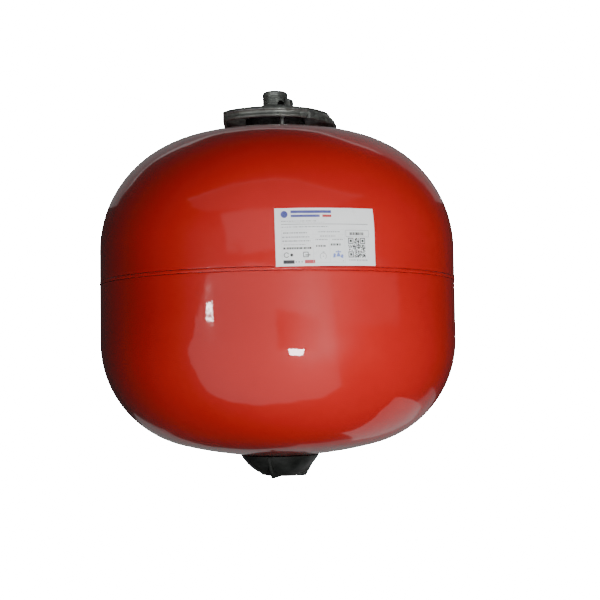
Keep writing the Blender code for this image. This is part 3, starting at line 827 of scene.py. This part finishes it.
def make_anti_rotation_pin():
    """Short pin between the shell and the plate, with a domed end that shows in the gap."""
    low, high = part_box("anti_rotation_pin")
    center = (Vector(low) + Vector(high)) / 2.0
    radius = (high[0] - low[0]) / 2.0
    length = high[2] - low[2]
    dome = [(radius * math.sin(math.radians(a)), length / 2.0 - radius * 0.4 * (1.0 - math.cos(math.radians(a))))
            for a in range(0, 91, 15)]
    outline = dome + [(radius, -length / 2.0 + 0.2 * MM), (radius - 0.2 * MM, -length / 2.0), (0.0, -length / 2.0)]
    # The pin takes the lighter zinc, a painted highlight in the gap.
    pin = turn("anti_rotation_pin_fine", outline, PIN_HIGHLIGHT_ZINC, 32, closed=False)
    for vertex in pin.data.vertices:
        vertex.co += center
    place(pin, "vessel", "galvanised_steel", "anti_rotation_pin")


# ---------------------------------------------------------------- diaphragm

def make_diaphragm():
    """Rim bead, clamp ring, rolling wall with moulded rings, and the centre pad."""
    fine_ring("diaphragm_rim", RUBBER, "black_rubber", 1.5 * MM, FINE)
    outer, inner, top, foot = measure("diaphragm_clamp_ring")
    edge = inner + 2.0 * MM
    step = foot + 1.7 * MM
    outline = [(edge, top), (edge, step), (outer, step), (outer, foot), (inner, foot), (inner, top)]
    clamp = turn("diaphragm_clamp_ring_fine", rounded(outline, 0.5 * MM), STEEL, FINE)
    place(clamp, "vessel", "bare_steel", "diaphragm_clamp_ring")

    outer, hole, top, foot = measure("diaphragm_wall")
    roll = 62.0 * MM
    thick = 2.2 * MM
    flat = outer - roll
    face = [(hole + (flat - hole) * step / 12, top) for step in range(12)]
    face += arc(flat, top - roll, roll, 90.0, 0.0, 60)
    face.append((outer, foot))
    back = [(outer - thick, foot)] + arc(flat, top - roll, roll - thick, 0.0, 90.0, 30)
    back.append((hole, top - thick))

    def ribbed(x, z, around):
        if z < top - roll:
            return x, z
        lift = 0.25 * MM * math.cos(x * TAU / (5.0 * MM))
        return x, z - 0.25 * MM + lift

    wall = turn("diaphragm_wall_fine", face + back, RUBBER, FINE, shape=ribbed)
    place(wall, "vessel", "black_rubber", "diaphragm_wall")
    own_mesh(wall)

    outer, hole, top, foot = measure("diaphragm_centre")
    rise = 4.0 * MM
    thick = 3.3 * MM
    face = []
    for step in range(60):
        radius = outer * step / 60
        ring = 0.22 * MM * math.cos(radius * TAU / (6.0 * MM))
        face.append((radius, top - rise * (radius / outer) ** 2 - 0.22 * MM + ring))
    face += [(outer, top - rise - 0.3 * MM), (outer, top - rise - thick + 0.3 * MM)]
    back = [(outer * (1.0 - step / 12), top - thick - rise * (1.0 - step / 12) ** 2) for step in range(1, 13)]
    pad = turn("diaphragm_centre_fine", face + back, RUBBER, FINE, closed=False)
    place(pad, "diaphragm", "black_rubber", "diaphragm_centre")


# ---------------------------------------------------------------- air valve

VALVE_PITCH = 0.794 * MM


def make_valve_body():
    """Air valve: a head inside the shell and a threaded stem that reaches down to its tip."""
    outer, bore, top, tip = measure("valve_body")
    radius = 3.85 * MM
    head_foot = top - 2.0 * MM
    thread_top = head_foot - 0.5 * MM
    thread_foot = tip + 0.5 * MM
    outline = [(outer - 0.3 * MM, top), (outer, top - 0.3 * MM), (outer, head_foot + 0.3 * MM),
               (outer - 0.3 * MM, head_foot), (radius, head_foot)]
    outline += thread_rows(radius, thread_top, thread_foot, VALVE_PITCH)
    outline += [(radius - 0.5 * MM, tip), (bore + 0.2 * MM, tip), (bore, tip + 0.2 * MM), (bore, top)]
    groove = thread_shape(radius, thread_top, thread_foot, VALVE_PITCH, 0.33 * MM, 0.5 * MM)
    valve = turn("valve_body_fine", outline, BRASS, TINY, shape=groove)
    place(valve, "vessel", "brass", "valve_body")


def make_valve_nut():
    """Hexagon nut, its corners turned off at both ends."""
    outer, inner, top, foot = measure("valve_nut")
    mesh = bpy.data.meshes.new("valve_nut_fine")
    work = bmesh.new()
    bmesh.ops.create_cone(work, cap_ends=True, segments=6, radius1=outer, radius2=outer, depth=top - foot)
    bmesh.ops.translate(work, verts=work.verts, vec=(0.0, 0.0, (top + foot) / 2.0))
    work.to_mesh(mesh)
    work.free()
    nut = make_object("valve_nut_fine", mesh, BRASS)
    slope = 0.6 * MM
    barrel = [(outer * 0.9, top + 0.01 * MM), (outer + 0.05 * MM, top - slope), (outer + 0.05 * MM, foot + slope),
              (outer * 0.9, foot - 0.01 * MM), (inner + 0.4 * MM, foot - 0.01 * MM), (inner, foot + 0.4 * MM),
              (inner, top - 0.4 * MM), (inner + 0.4 * MM, top + 0.01 * MM)]
    limit = turn("valve_nut_limit", barrel, BRASS, TINY)
    modifier = nut.modifiers.new("common", "BOOLEAN")
    modifier.operation = "INTERSECT"
    modifier.solver = "EXACT"
    modifier.object = limit
    apply_modifiers(nut)
    bpy.data.objects.remove(limit, do_unlink=True)
    shade(nut.data)
    place(nut, "vessel", "brass", "valve_nut")


def make_valve_core():
    """What sits in the valve's bore: barrel, seal, sprung pin and the clip that holds the spring."""
    fine_ring("valve_core_barrel", BRASS, "brass", 0.15 * MM, TINY)
    fine_ring("valve_core_seal", RUBBER, "black_rubber", 0.3 * MM, TINY)
    fine_ring("valve_spring_clip", BRASS, "brass", 0.2 * MM, TINY)
    outer, _, top, foot = measure("valve_core_pin")
    head_foot = top - 1.0 * MM
    stem = 0.6 * MM
    outline = [(0.0, top), (outer - 0.2 * MM, top), (outer, top - 0.2 * MM), (outer, head_foot + 0.15 * MM),
               (outer - 0.15 * MM, head_foot), (stem + 0.15 * MM, head_foot), (stem, head_foot - 0.15 * MM),
               (stem, foot + 0.3 * MM), (stem * 0.7, foot + 0.08 * MM), (0.0, foot)]
    pin = turn("valve_core_pin_fine", outline, BRASS, 32, closed=False)
    place(pin, "valve_pin", "brass", "valve_core_pin")
    make_valve_spring()


def make_valve_spring():
    _, _, top, foot = measure("valve_core_spring")
    wire = 0.25 * MM
    mean = 1.6 * MM
    turns = 5
    per_turn = 32
    sides = 10
    rise = top - foot - 2.0 * wire
    vertices = []
    faces = []
    count = turns * per_turn
    for index in range(count + 1):
        angle = TAU * index / per_turn
        height = foot + wire + rise * index / count
        for side in range(sides):
            tilt = TAU * side / sides
            radius = mean + wire * math.cos(tilt)
            vertices.append((radius * math.cos(angle), radius * math.sin(angle), height + wire * math.sin(tilt)))
    for index in range(count):
        for side in range(sides):
            near = index * sides
            after = (side + 1) % sides
            faces.append((near + side, near + sides + side, near + sides + after, near + after))
    faces.append(tuple(range(sides)))
    faces.append(tuple(reversed([count * sides + side for side in range(sides)])))
    mesh = bpy.data.meshes.new("valve_core_spring_fine")
    mesh.from_pydata(vertices, [], faces)
    tidy_mesh(mesh)
    shade(mesh, 50.0)
    spring = make_object("valve_core_spring_fine", mesh, STEEL)
    place(spring, "vessel", "bare_steel", "valve_core_spring")
    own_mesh(spring)


def make_valve_fixings():
    fine_ring("valve_grommet", RUBBER, "black_rubber", 0.4 * MM, TINY)
    fine_ring("valve_washer", ZINC, "galvanised_steel", 0.2 * MM, TINY)
    make_valve_nut()


def make_dust_cap():
    """Small cap with grip ribs, closed at its foot, and the seal inside it."""
    outer, inner, top, foot = measure("dust_cap")
    bore = outer - 1.25 * MM
    floor = foot + 1.1 * MM
    rows = [(outer, top - 0.5 * MM + (foot + 1.6 * MM - top) * row / 12) for row in range(13)]
    outline = [(0.0, floor), (bore - 0.2 * MM, floor), (bore, floor + 0.2 * MM), (bore, top - 0.3 * MM),
               (bore + 0.3 * MM, top), (outer - 0.3 * MM, top)] + rows
    outline += [(outer - 0.3 * MM, foot + 0.3 * MM), (outer - 0.9 * MM, foot), (0.0, foot)]

    def ribs(x, z, around):
        if x < outer - 0.1 * MM:
            return x, z
        return x - 0.22 * MM * (0.5 - 0.5 * math.cos(around * 24.0)), z

    cap = turn("dust_cap_fine", outline, PLASTIC, 24 * 8, closed=False, shape=ribs)
    place(cap, "dust_cap", "black_plastic", "dust_cap")
    outer, _, top, foot = measure("dust_cap_seal")
    disc = [(0.0, top), (outer - 0.15 * MM, top), (outer, top - 0.15 * MM), (outer, foot + 0.15 * MM),
            (outer - 0.15 * MM, foot), (0.0, foot)]
    seal = turn("dust_cap_seal_fine", disc, RUBBER, TINY, closed=False)
    place(seal, "dust_cap_seat", "black_rubber", "dust_cap_seal")


# ---------------------------------------------------------------- valve cover

COVER_TOP = measure("valve_cover")[2]
COVER_BASE = 1.0 * MM
BOWL_CENTER = 34.7 * MM
COVER_SPHERE = 35.5 * MM
COVER_WALL = 1.6 * MM
COLLAR_OUTER = measure("cover_collar")[0]


def bowl_radius(sphere, height):
    """Radius of a bowl surface at a height; all the bowl's spheres share one centre."""
    return math.sqrt(sphere ** 2 - (BOWL_CENTER - height) ** 2)


def bowl_arc(sphere, from_radius, to_radius, count):
    start = -math.degrees(math.acos(from_radius / sphere))
    end = -math.degrees(math.acos(to_radius / sphere))
    return arc(0.0, BOWL_CENTER, sphere, start, end, count)


def make_valve_cover():
    """Bowl with a threaded skirt inside it and three tapered grip fins below it."""
    inside = COVER_SPHERE - COVER_WALL
    skirt_inner = COLLAR_OUTER + 0.3 * MM
    skirt_outer = skirt_inner + 1.5 * MM
    skirt_top = 17.4 * MM
    lip = 0.3 * MM
    floor = COVER_BASE + COVER_WALL
    outline = [(0.0, floor)] + bowl_arc(inside, bowl_radius(inside, floor), skirt_inner, 24)
    outline += [(skirt_inner, skirt_top - lip), (skirt_inner + lip, skirt_top), (skirt_outer - lip, skirt_top),
                (skirt_outer, skirt_top - lip)]
    outline += bowl_arc(inside, skirt_outer, bowl_radius(inside, COVER_TOP - lip), 8)
    outline.append((bowl_radius(inside, COVER_TOP) + lip, COVER_TOP))
    outline.append((bowl_radius(COVER_SPHERE, COVER_TOP) - lip, COVER_TOP))
    outline += bowl_arc(COVER_SPHERE, bowl_radius(COVER_SPHERE, COVER_TOP - lip),
                        bowl_radius(COVER_SPHERE, COVER_BASE), 40)
    outline.append((0.0, COVER_BASE))
    cover = turn("valve_cover_fine", outline, PLASTIC, FINE, closed=False)
    hub = 1.0 * MM
    foot = 20.6 * MM
    root = COVER_SPHERE - COVER_WALL / 2.0
    shoulder = bowl_radius(COVER_SPHERE, COVER_TOP) - 0.3 * MM
    fin = [(hub, 0.0), (foot, 0.0), (shoulder, COVER_TOP - 1.2 * MM)]
    root_z = COVER_BASE + COVER_WALL / 2.0
    fin += bowl_arc(root, bowl_radius(root, COVER_TOP - 0.4 * MM), bowl_radius(root, root_z), 14)
    fin.append((hub, root_z))
    fins = []
    for number, bearing in enumerate(FIN_BEARINGS):
        solid = prism("fin_%d" % (number + 1), fin, 2.6 * MM, bearing, PLASTIC)
        bevel(solid, 0.5 * MM, 2, 50.0)
        fins.append(apply_modifiers(solid))
    unite(cover, fins)
    shade(cover.data, 30.0)
    place(cover, "cover", "black_plastic", "valve_cover")


def make_cover_collar():
    """Collar on the shell with a coarse thread that the cover screws on to, and the seal below it."""
    outer, inner, top, foot = measure("cover_collar")
    pitch = 2.5 * MM
    thread_top = top - 2.0 * MM
    thread_foot = foot + 0.4 * MM
    outline = [(inner + 0.3 * MM, top), (outer - 0.3 * MM, top), (outer, top - 0.3 * MM)]
    outline += thread_rows(outer, thread_top, thread_foot, pitch)
    outline += [(outer - 0.4 * MM, foot), (inner + 0.3 * MM, foot), (inner, foot + 0.3 * MM), (inner, top - 0.3 * MM)]
    groove = thread_shape(outer, thread_top, thread_foot, pitch, 0.8 * MM, 1.0 * MM)
    collar = turn("cover_collar_fine", outline, PLASTIC, FINE, shape=groove)
    place(collar, "vessel", "black_plastic", "cover_collar")
    fine_ring("cover_seal", RUBBER, "black_rubber", 0.5 * MM, SMALL, body="cover_seat")


# ---------------------------------------------------------------- rating label

LABEL_WIDE = 71.9 * MM
LABEL_HIGH = 40.0 * MM
PRINT_U = LABEL_WIDE / 78.2         # size of one unit of the printed layout, across and up
PRINT_V = LABEL_HIGH / 42.0
LABEL_FOOT = measure("rating_label")[3] - SEAM_Z
LABEL_BEARING = -0.55
LABEL_TILT = math.radians(-1.0)
LABEL_FACE = 0.28 * MM


def label_point(u, v, lift):
    """A point over the label's face, u to the right and v up from its lower left corner."""
    across = (u - LABEL_WIDE / 2.0) * math.cos(LABEL_TILT) - (v - LABEL_HIGH / 2.0) * math.sin(-LABEL_TILT)
    up = (u - LABEL_WIDE / 2.0) * math.sin(-LABEL_TILT) + (v - LABEL_HIGH / 2.0) * math.cos(LABEL_TILT)
    height = LABEL_FOOT + LABEL_HIGH / 2.0 + up
    bearing = LABEL_BEARING + math.degrees((across + LABEL_WIDE / 2.0) / BODY_RADIUS)
    return at_bearing(UPPER.radius_at(height) + lift, bearing, SEAM_Z + height)


def make_sheet(name, material, columns, rows, face, back):
    """A closed thin sheet over the label's area."""
    work = bmesh.new()
    layers = []
    for lift in (face, back):
        grid = []
        for column in range(columns + 1):
            u = LABEL_WIDE * column / columns
            grid.append([work.verts.new(label_point(u, LABEL_HIGH * row / rows, lift)) for row in range(rows + 1)])
        layers.append(grid)
    for grid in layers:
        for column in range(columns):
            for row in range(rows):
                work.faces.new((grid[column][row], grid[column + 1][row], grid[column + 1][row + 1],
                                grid[column][row + 1]))
    front, rear = layers
    rim = [(column, 0) for column in range(columns)] + [(columns, row) for row in range(rows)]
    rim += [(column, rows) for column in range(columns, 0, -1)] + [(0, row) for row in range(rows, 0, -1)]
    for index, (column, row) in enumerate(rim):
        after_column, after_row = rim[(index + 1) % len(rim)]
        work.faces.new((front[column][row], rear[column][row], rear[after_column][after_row],
                        front[after_column][after_row]))
    bmesh.ops.recalc_face_normals(work, faces=work.faces)
    mesh = bpy.data.meshes.new(name)
    work.to_mesh(mesh)
    work.free()
    shade(mesh)
    return make_object(name, mesh, material)


class Print:
    """Ink on the label: thin closed slabs that follow the curved face, kept apart by colour."""

    def __init__(self):
        self.works = {ink: bmesh.new() for ink in INKS}

    def slab(self, points, ink):
        """A slab over a convex outline given in units of the printed layout."""
        work = self.works[ink]
        top = [work.verts.new(label_point(u * PRINT_U, v * PRINT_V, LABEL_FACE + 0.03 * MM)) for u, v in points]
        foot = [work.verts.new(label_point(u * PRINT_U, v * PRINT_V, LABEL_FACE - 0.06 * MM)) for u, v in points]
        work.faces.new(top)
        work.faces.new(foot[::-1])
        for index in range(len(points)):
            after = (index + 1) % len(points)
            work.faces.new((top[index], foot[index], foot[after], top[after]))

    def bar(self, left, foot, right, top, ink):
        """A rectangle, cut into short lengths so that it follows the curve."""
        pieces = max(1, math.ceil((right - left) / 3.0))
        for index in range(pieces):
            start = left + (right - left) * index / pieces
            end = left + (right - left) * (index + 1) / pieces
            self.slab([(start, foot), (end, foot), (end, top), (start, top)], ink)

    def frame(self, left, foot, right, top, line, ink):
        self.bar(left, foot, right, foot + line, ink)
        self.bar(left, top - line, right, top, ink)
        self.bar(left, foot, left + line, top, ink)
        self.bar(right - line, foot, right, top, ink)

    def ring(self, u, v, outer, inner, ink, start=0.0, end=360.0):
        count = max(6, int((end - start) / 20.0))
        for index in range(count):
            first = math.radians(start + (end - start) * index / count)
            last = math.radians(start + (end - start) * (index + 1) / count)
            self.slab([(u + inner * math.cos(first), v + inner * math.sin(first)),
                       (u + outer * math.cos(first), v + outer * math.sin(first)),
                       (u + outer * math.cos(last), v + outer * math.sin(last)),
                       (u + inner * math.cos(last), v + inner * math.sin(last))], ink)

    def dashes(self, left, right, v, high, ink, draw, longest=2.2):
        """A row of short strokes of uneven length that stands for a line of small print."""
        u = left
        while u < right:
            size = draw.uniform(0.35, longest)
            self.bar(u, v - high / 2.0, min(right, u + size), v + high / 2.0, ink)
            u += size + draw.uniform(0.25, 0.6)

    def finish(self):
        for ink, work in self.works.items():
            bmesh.ops.recalc_face_normals(work, faces=work.faces)
            mesh = bpy.data.meshes.new("label_print_" + ink)
            work.to_mesh(mesh)
            work.free()
            place(make_object("label_print_" + ink, mesh, INKS[ink]), "vessel", "label_film")


def print_mark(sheet):
    """Generic mark: a disc with a pale stripe, then three bars of falling length."""
    sheet.ring(7.2, 37.4, 2.6, 0.02, "blue")
    sheet.bar(12.0, 38.2, 43.0, 40.2, "blue")
    sheet.bar(12.0, 35.3, 34.0, 37.0, "blue")
    sheet.bar(36.0, 35.3, 43.0, 37.0, "red")


def print_table(sheet, draw):
    """Rules, boxes and rows of small print."""
    sheet.dashes(4.8, 31.0, 32.4, 0.5, "grey", draw)
    sheet.dashes(10.0, 37.5, 31.3, 0.4, "pale", draw)
    sheet.bar(4.6, 29.9, 72.6, 30.35, "grey")
    sheet.dashes(4.6, 40.0, 28.2, 0.6, "grey", draw)
    line = 0.16
    for v in (25.9, 22.3, 19.6, 16.5):
        sheet.bar(4.7, v, 27.8, v + line, "pale")
    for v in (25.9, 22.6, 20.2):
        sheet.bar(28.4, v, 52.4, v + line, "pale")
    for u, foot, top in ((4.7, 5.0, 25.9), (28.1, 2.3, 25.9), (40.8, 2.3, 20.2), (52.6, 2.3, 25.9)):
        sheet.bar(u, foot, u + line, top, "pale")
    sheet.bar(28.1, 2.3, 52.7, 2.3 + line, "pale")
    for left, right, v in ((6.0, 23.8, 23.9), (5.3, 25.4, 20.9), (5.3, 26.2, 18.1)):
        sheet.dashes(left, right, v, 0.95, "grey", draw, 1.6)
    sheet.dashes(6.3, 22.5, 15.4, 0.5, "grey", draw, 1.4)
    sheet.dashes(5.8, 27.2, 12.9, 1.35, "black", draw, 1.5)
    sheet.dashes(31.9, 48.9, 24.5, 0.8, "grey", draw, 1.5)
    sheet.dashes(33.6, 45.6, 21.4, 0.8, "grey", draw, 1.5)
    sheet.dashes(30.0, 39.2, 18.9, 0.8, "grey", draw, 1.5)
    sheet.dashes(42.9, 51.4, 19.0, 0.8, "grey", draw, 1.5)
    sheet.dashes(30.3, 38.2, 14.3, 1.2, "black", draw, 1.3)
    sheet.dashes(41.6, 49.8, 15.3, 1.5, "black", draw, 1.3)


def print_symbols(sheet):
    """Two round marks, a three-coloured bar, a dial and a tap."""
    sheet.ring(8.0, 8.1, 1.9, 1.45, "black", 20.0, 340.0)
    sheet.ring(11.9, 8.1, 1.1, 0.02, "black")
    sheet.frame(20.4, 6.4, 24.4, 10.2, 0.5, "black")
    sheet.bar(22.0, 7.6, 25.8, 8.3, "black")
    sheet.bar(5.6, 1.9, 13.8, 4.4, "black")
    for u in (15.0, 17.2, 19.4):
        sheet.ring(u, 3.1, 0.55, 0.02, "grey")
    sheet.bar(21.5, 1.9, 29.3, 4.4, "red")
    sheet.ring(35.5, 6.9, 2.55, 2.2, "grey", -50.0, 230.0)
    sheet.bar(35.1, 9.6, 36.6, 10.2, "grey")
    sheet.ring(35.5, 6.9, 0.4, 0.02, "grey")
    sheet.slab([(43.1, 6.0), (51.3, 5.6), (50.6, 7.0), (43.4, 7.3)], "tap")
    sheet.slab([(45.6, 6.6), (49.2, 6.6), (48.1, 9.2), (46.7, 9.2)], "tap")
    sheet.bar(45.2, 9.6, 49.6, 10.4, "tap")
    sheet.bar(47.1, 9.0, 47.7, 11.2, "tap")
    sheet.ring(44.4, 8.0, 1.0, 0.02, "tap")
    sheet.ring(50.4, 7.3, 1.0, 0.02, "tap")
    sheet.ring(51.2, 3.5, 0.35, 0.02, "grey")


def print_code(sheet, draw):
    """Boxed heading and a square of random cells with three corner marks."""
    sheet.frame(53.7, 20.9, 73.0, 25.9, 0.3, "grey")
    sheet.dashes(56.9, 68.6, 23.2, 2.1, "black", draw, 1.5)
    sheet.dashes(56.0, 71.2, 4.1, 0.75, "grey", draw, 1.4)
    left, foot, cells = 55.5, 6.0, 23
    cell = 14.2 / cells
    marks = ((0, 0), (0, cells - 7), (cells - 7, cells - 7))
    for column in range(cells):
        for row in range(cells):
            dark = draw.random() < 0.5
            for mark_column, mark_row in marks:
                near = max(abs(column - mark_column - 3), abs(row - mark_row - 3))
                if near <= 4:
                    dark = near in (0, 1, 3)
            if dark:
                u = left + column * cell
                v = foot + row * cell
                sheet.slab([(u, v), (u + cell, v), (u + cell, v + cell), (u, v + cell)], "black")


def make_rating_label():
    label = make_sheet("rating_label_fine", FILM, 48, 20, LABEL_FACE, 0.04 * MM)
    place(label, "vessel", "label_film", "rating_label")
    draw = random.Random(12)
    sheet = Print()
    print_mark(sheet)
    print_table(sheet, draw)
    print_symbols(sheet)
    print_code(sheet, draw)
    sheet.finish()


# ---------------------------------------------------------------- studio

STUDIO = Vector((0.0, 0.0, SEAM_Z))
STUDIO_AWAY = 3.0


def direction(azimuth, elevation):
    """Unit vector; azimuth 0 is towards the front and 90 towards the right, in degrees."""
    across = math.radians(azimuth)
    up = math.radians(elevation)
    return Vector((math.sin(across) * math.cos(up), -math.cos(across) * math.cos(up), math.sin(up)))


def make_card(name, corners, strength, color=(1.0, 1.0, 1.0), away=STUDIO_AWAY):
    """A glowing studio card that the gloss mirrors, spanned by directions from the vessel."""
    work = bmesh.new()
    ring = []
    size = len(corners)
    for index in range(size):
        azimuth, elevation = corners[index]
        after_azimuth, after_elevation = corners[(index + 1) % size]
        pieces = max(1, int(max(abs(after_azimuth - azimuth), abs(after_elevation - elevation)) / 6.0))
        for step in range(pieces):
            share = step / pieces
            place_azimuth = azimuth + (after_azimuth - azimuth) * share
            place_elevation = elevation + (after_elevation - elevation) * share
            ring.append(work.verts.new(STUDIO + away * direction(place_azimuth, place_elevation)))
    work.faces.new(ring)
    bmesh.ops.triangulate(work, faces=work.faces)
    mesh = bpy.data.meshes.new(name)
    work.to_mesh(mesh)
    work.free()
    glow = bpy.data.materials.new(name)
    glow.use_nodes = True
    tree = glow.node_tree
    tree.nodes.clear()
    output = tree.nodes.new("ShaderNodeOutputMaterial")
    lamp = tree.nodes.new("ShaderNodeEmission")
    lamp.inputs["Color"].default_value = (*color, 1.0)
    lamp.inputs["Strength"].default_value = strength
    tree.links.new(lamp.outputs["Emission"], output.inputs["Surface"])
    card = make_object(name, mesh, glow)
    card.visible_camera = False
    card.visible_shadow = False
    return card


def make_cards():
    """The room that the gloss mirrors: a tall window in front, lamps, a ceiling arch and a floor."""
    make_card("window_left", [(-40, 5), (-51, 2), (-57, -9), (-57, -32), (-1, -32), (-1, 5)], WINDOW)
    make_card("window_middle", [(-1, -14), (24, -14), (24, -32), (-1, -32)], WINDOW)
    make_card("window_sill", [(-1, 5), (24, 5), (24, 2), (-1, 2)], WINDOW)
    make_card("window_right", [(24, 5), (31, 5), (34, 2), (37, -22), (41, -32), (24, -32)], WINDOW * 0.7)
    make_card("window_foot", [(-57, -32), (41, -32), (49, -45), (42, -59), (13, -67), (-27, -69), (-52, -59),
                              (-60, -49)], WINDOW)
    make_card("window_top", [(-31, 6), (-36, 23), (-17, 27), (20, 28), (20, 6)], WINDOW * 0.8)
    make_card("right_wall", [(31, 5), (78, 5), (78, 1.5), (38, 1.5)], WINDOW * 0.4)
    make_card("lamp_left", [(-43, 3.05), (-39.2, 3.05), (-39.2, 2.1), (-43, 2.1)], LAMP, away=2.8)
    make_card("lamp_low", [(5, -12.5), (15.5, -12.5), (14.5, -18.5), (6.5, -18.5)], LAMP, away=2.8)
    arch_top = [(-63, 35), (-51, 41), (-36, 50), (-23, 54), (-1, 57), (21, 54), (35, 47), (51, 39), (63, 36)]
    arch_low = [(47, 31), (35, 27), (0, 29), (-17, 28), (-44, 25), (-58, 28)]
    make_card("ceiling_arch", arch_top + arch_low, WINDOW * 0.3)
    arch_inside = [(azimuth, elevation - 2) for azimuth, elevation in reversed(arch_top)]
    make_card("ceiling_edge", arch_top + arch_inside, WINDOW * 0.7, away=2.9)
    rear_top = [(223, 28), (216, 37), (209, 46), (195, 45), (187, 47), (180, 48), (173, 49), (157, 54), (144, 54),
                (137, 47)]
    make_card("rear_ceiling", rear_top + [(137, 20), (180, 6), (223, 20)], WINDOW * 0.32)
    rear_inside = [(azimuth, elevation - 3) for azimuth, elevation in reversed(rear_top)]
    make_card("rear_edge", rear_top + rear_inside, WINDOW * 0.9, away=2.9)
    make_card("rear_floor", [(209, -33), (197, -32), (190, -29), (184, -27), (175, -45), (160, -43), (134, -44),
                             (134, -20), (180, -6), (209, -20)], WINDOW * 0.34)
    make_card("right_floor", [(106, -40), (143, -25), (155, -23), (157, -34), (165, -37), (151, -55), (138, -53),
                              (115, -49)], WINDOW * 0.8, away=2.9)


def make_lights():
    """A small softbox near the front and a weak one below; the gloss mirrors neither."""
    front = make_softbox("front", tuple(STUDIO + KEY_AWAY * direction(21.0, -9.0)), STUDIO, KEY_SIZE, KEY_SIZE, KEY)
    below = make_softbox("below", tuple(STUDIO + LOW_AWAY * direction(20.0, -50.0)), STUDIO, LOW_SIZE, LOW_SIZE,
                         KEY * LOW_SHARE)
    front.visible_glossy = False
    below.visible_glossy = False


make_camera()
make_floor()
make_world()
make_cards()
make_lights()

make_upper_shell()
make_lower_shell()
make_girth_weld()
make_rating_label()
make_water_nozzle()
make_nozzle_weld()
make_mounting_plate()
fine_ring("plate_gasket", RUBBER, "black_rubber", 0.6 * MM)
make_lock_washer()
make_lock_nut()
make_anti_rotation_pin()
make_diaphragm()
make_valve_body()
make_valve_fixings()
make_valve_core()
make_dust_cap()
make_cover_collar()
make_valve_cover()
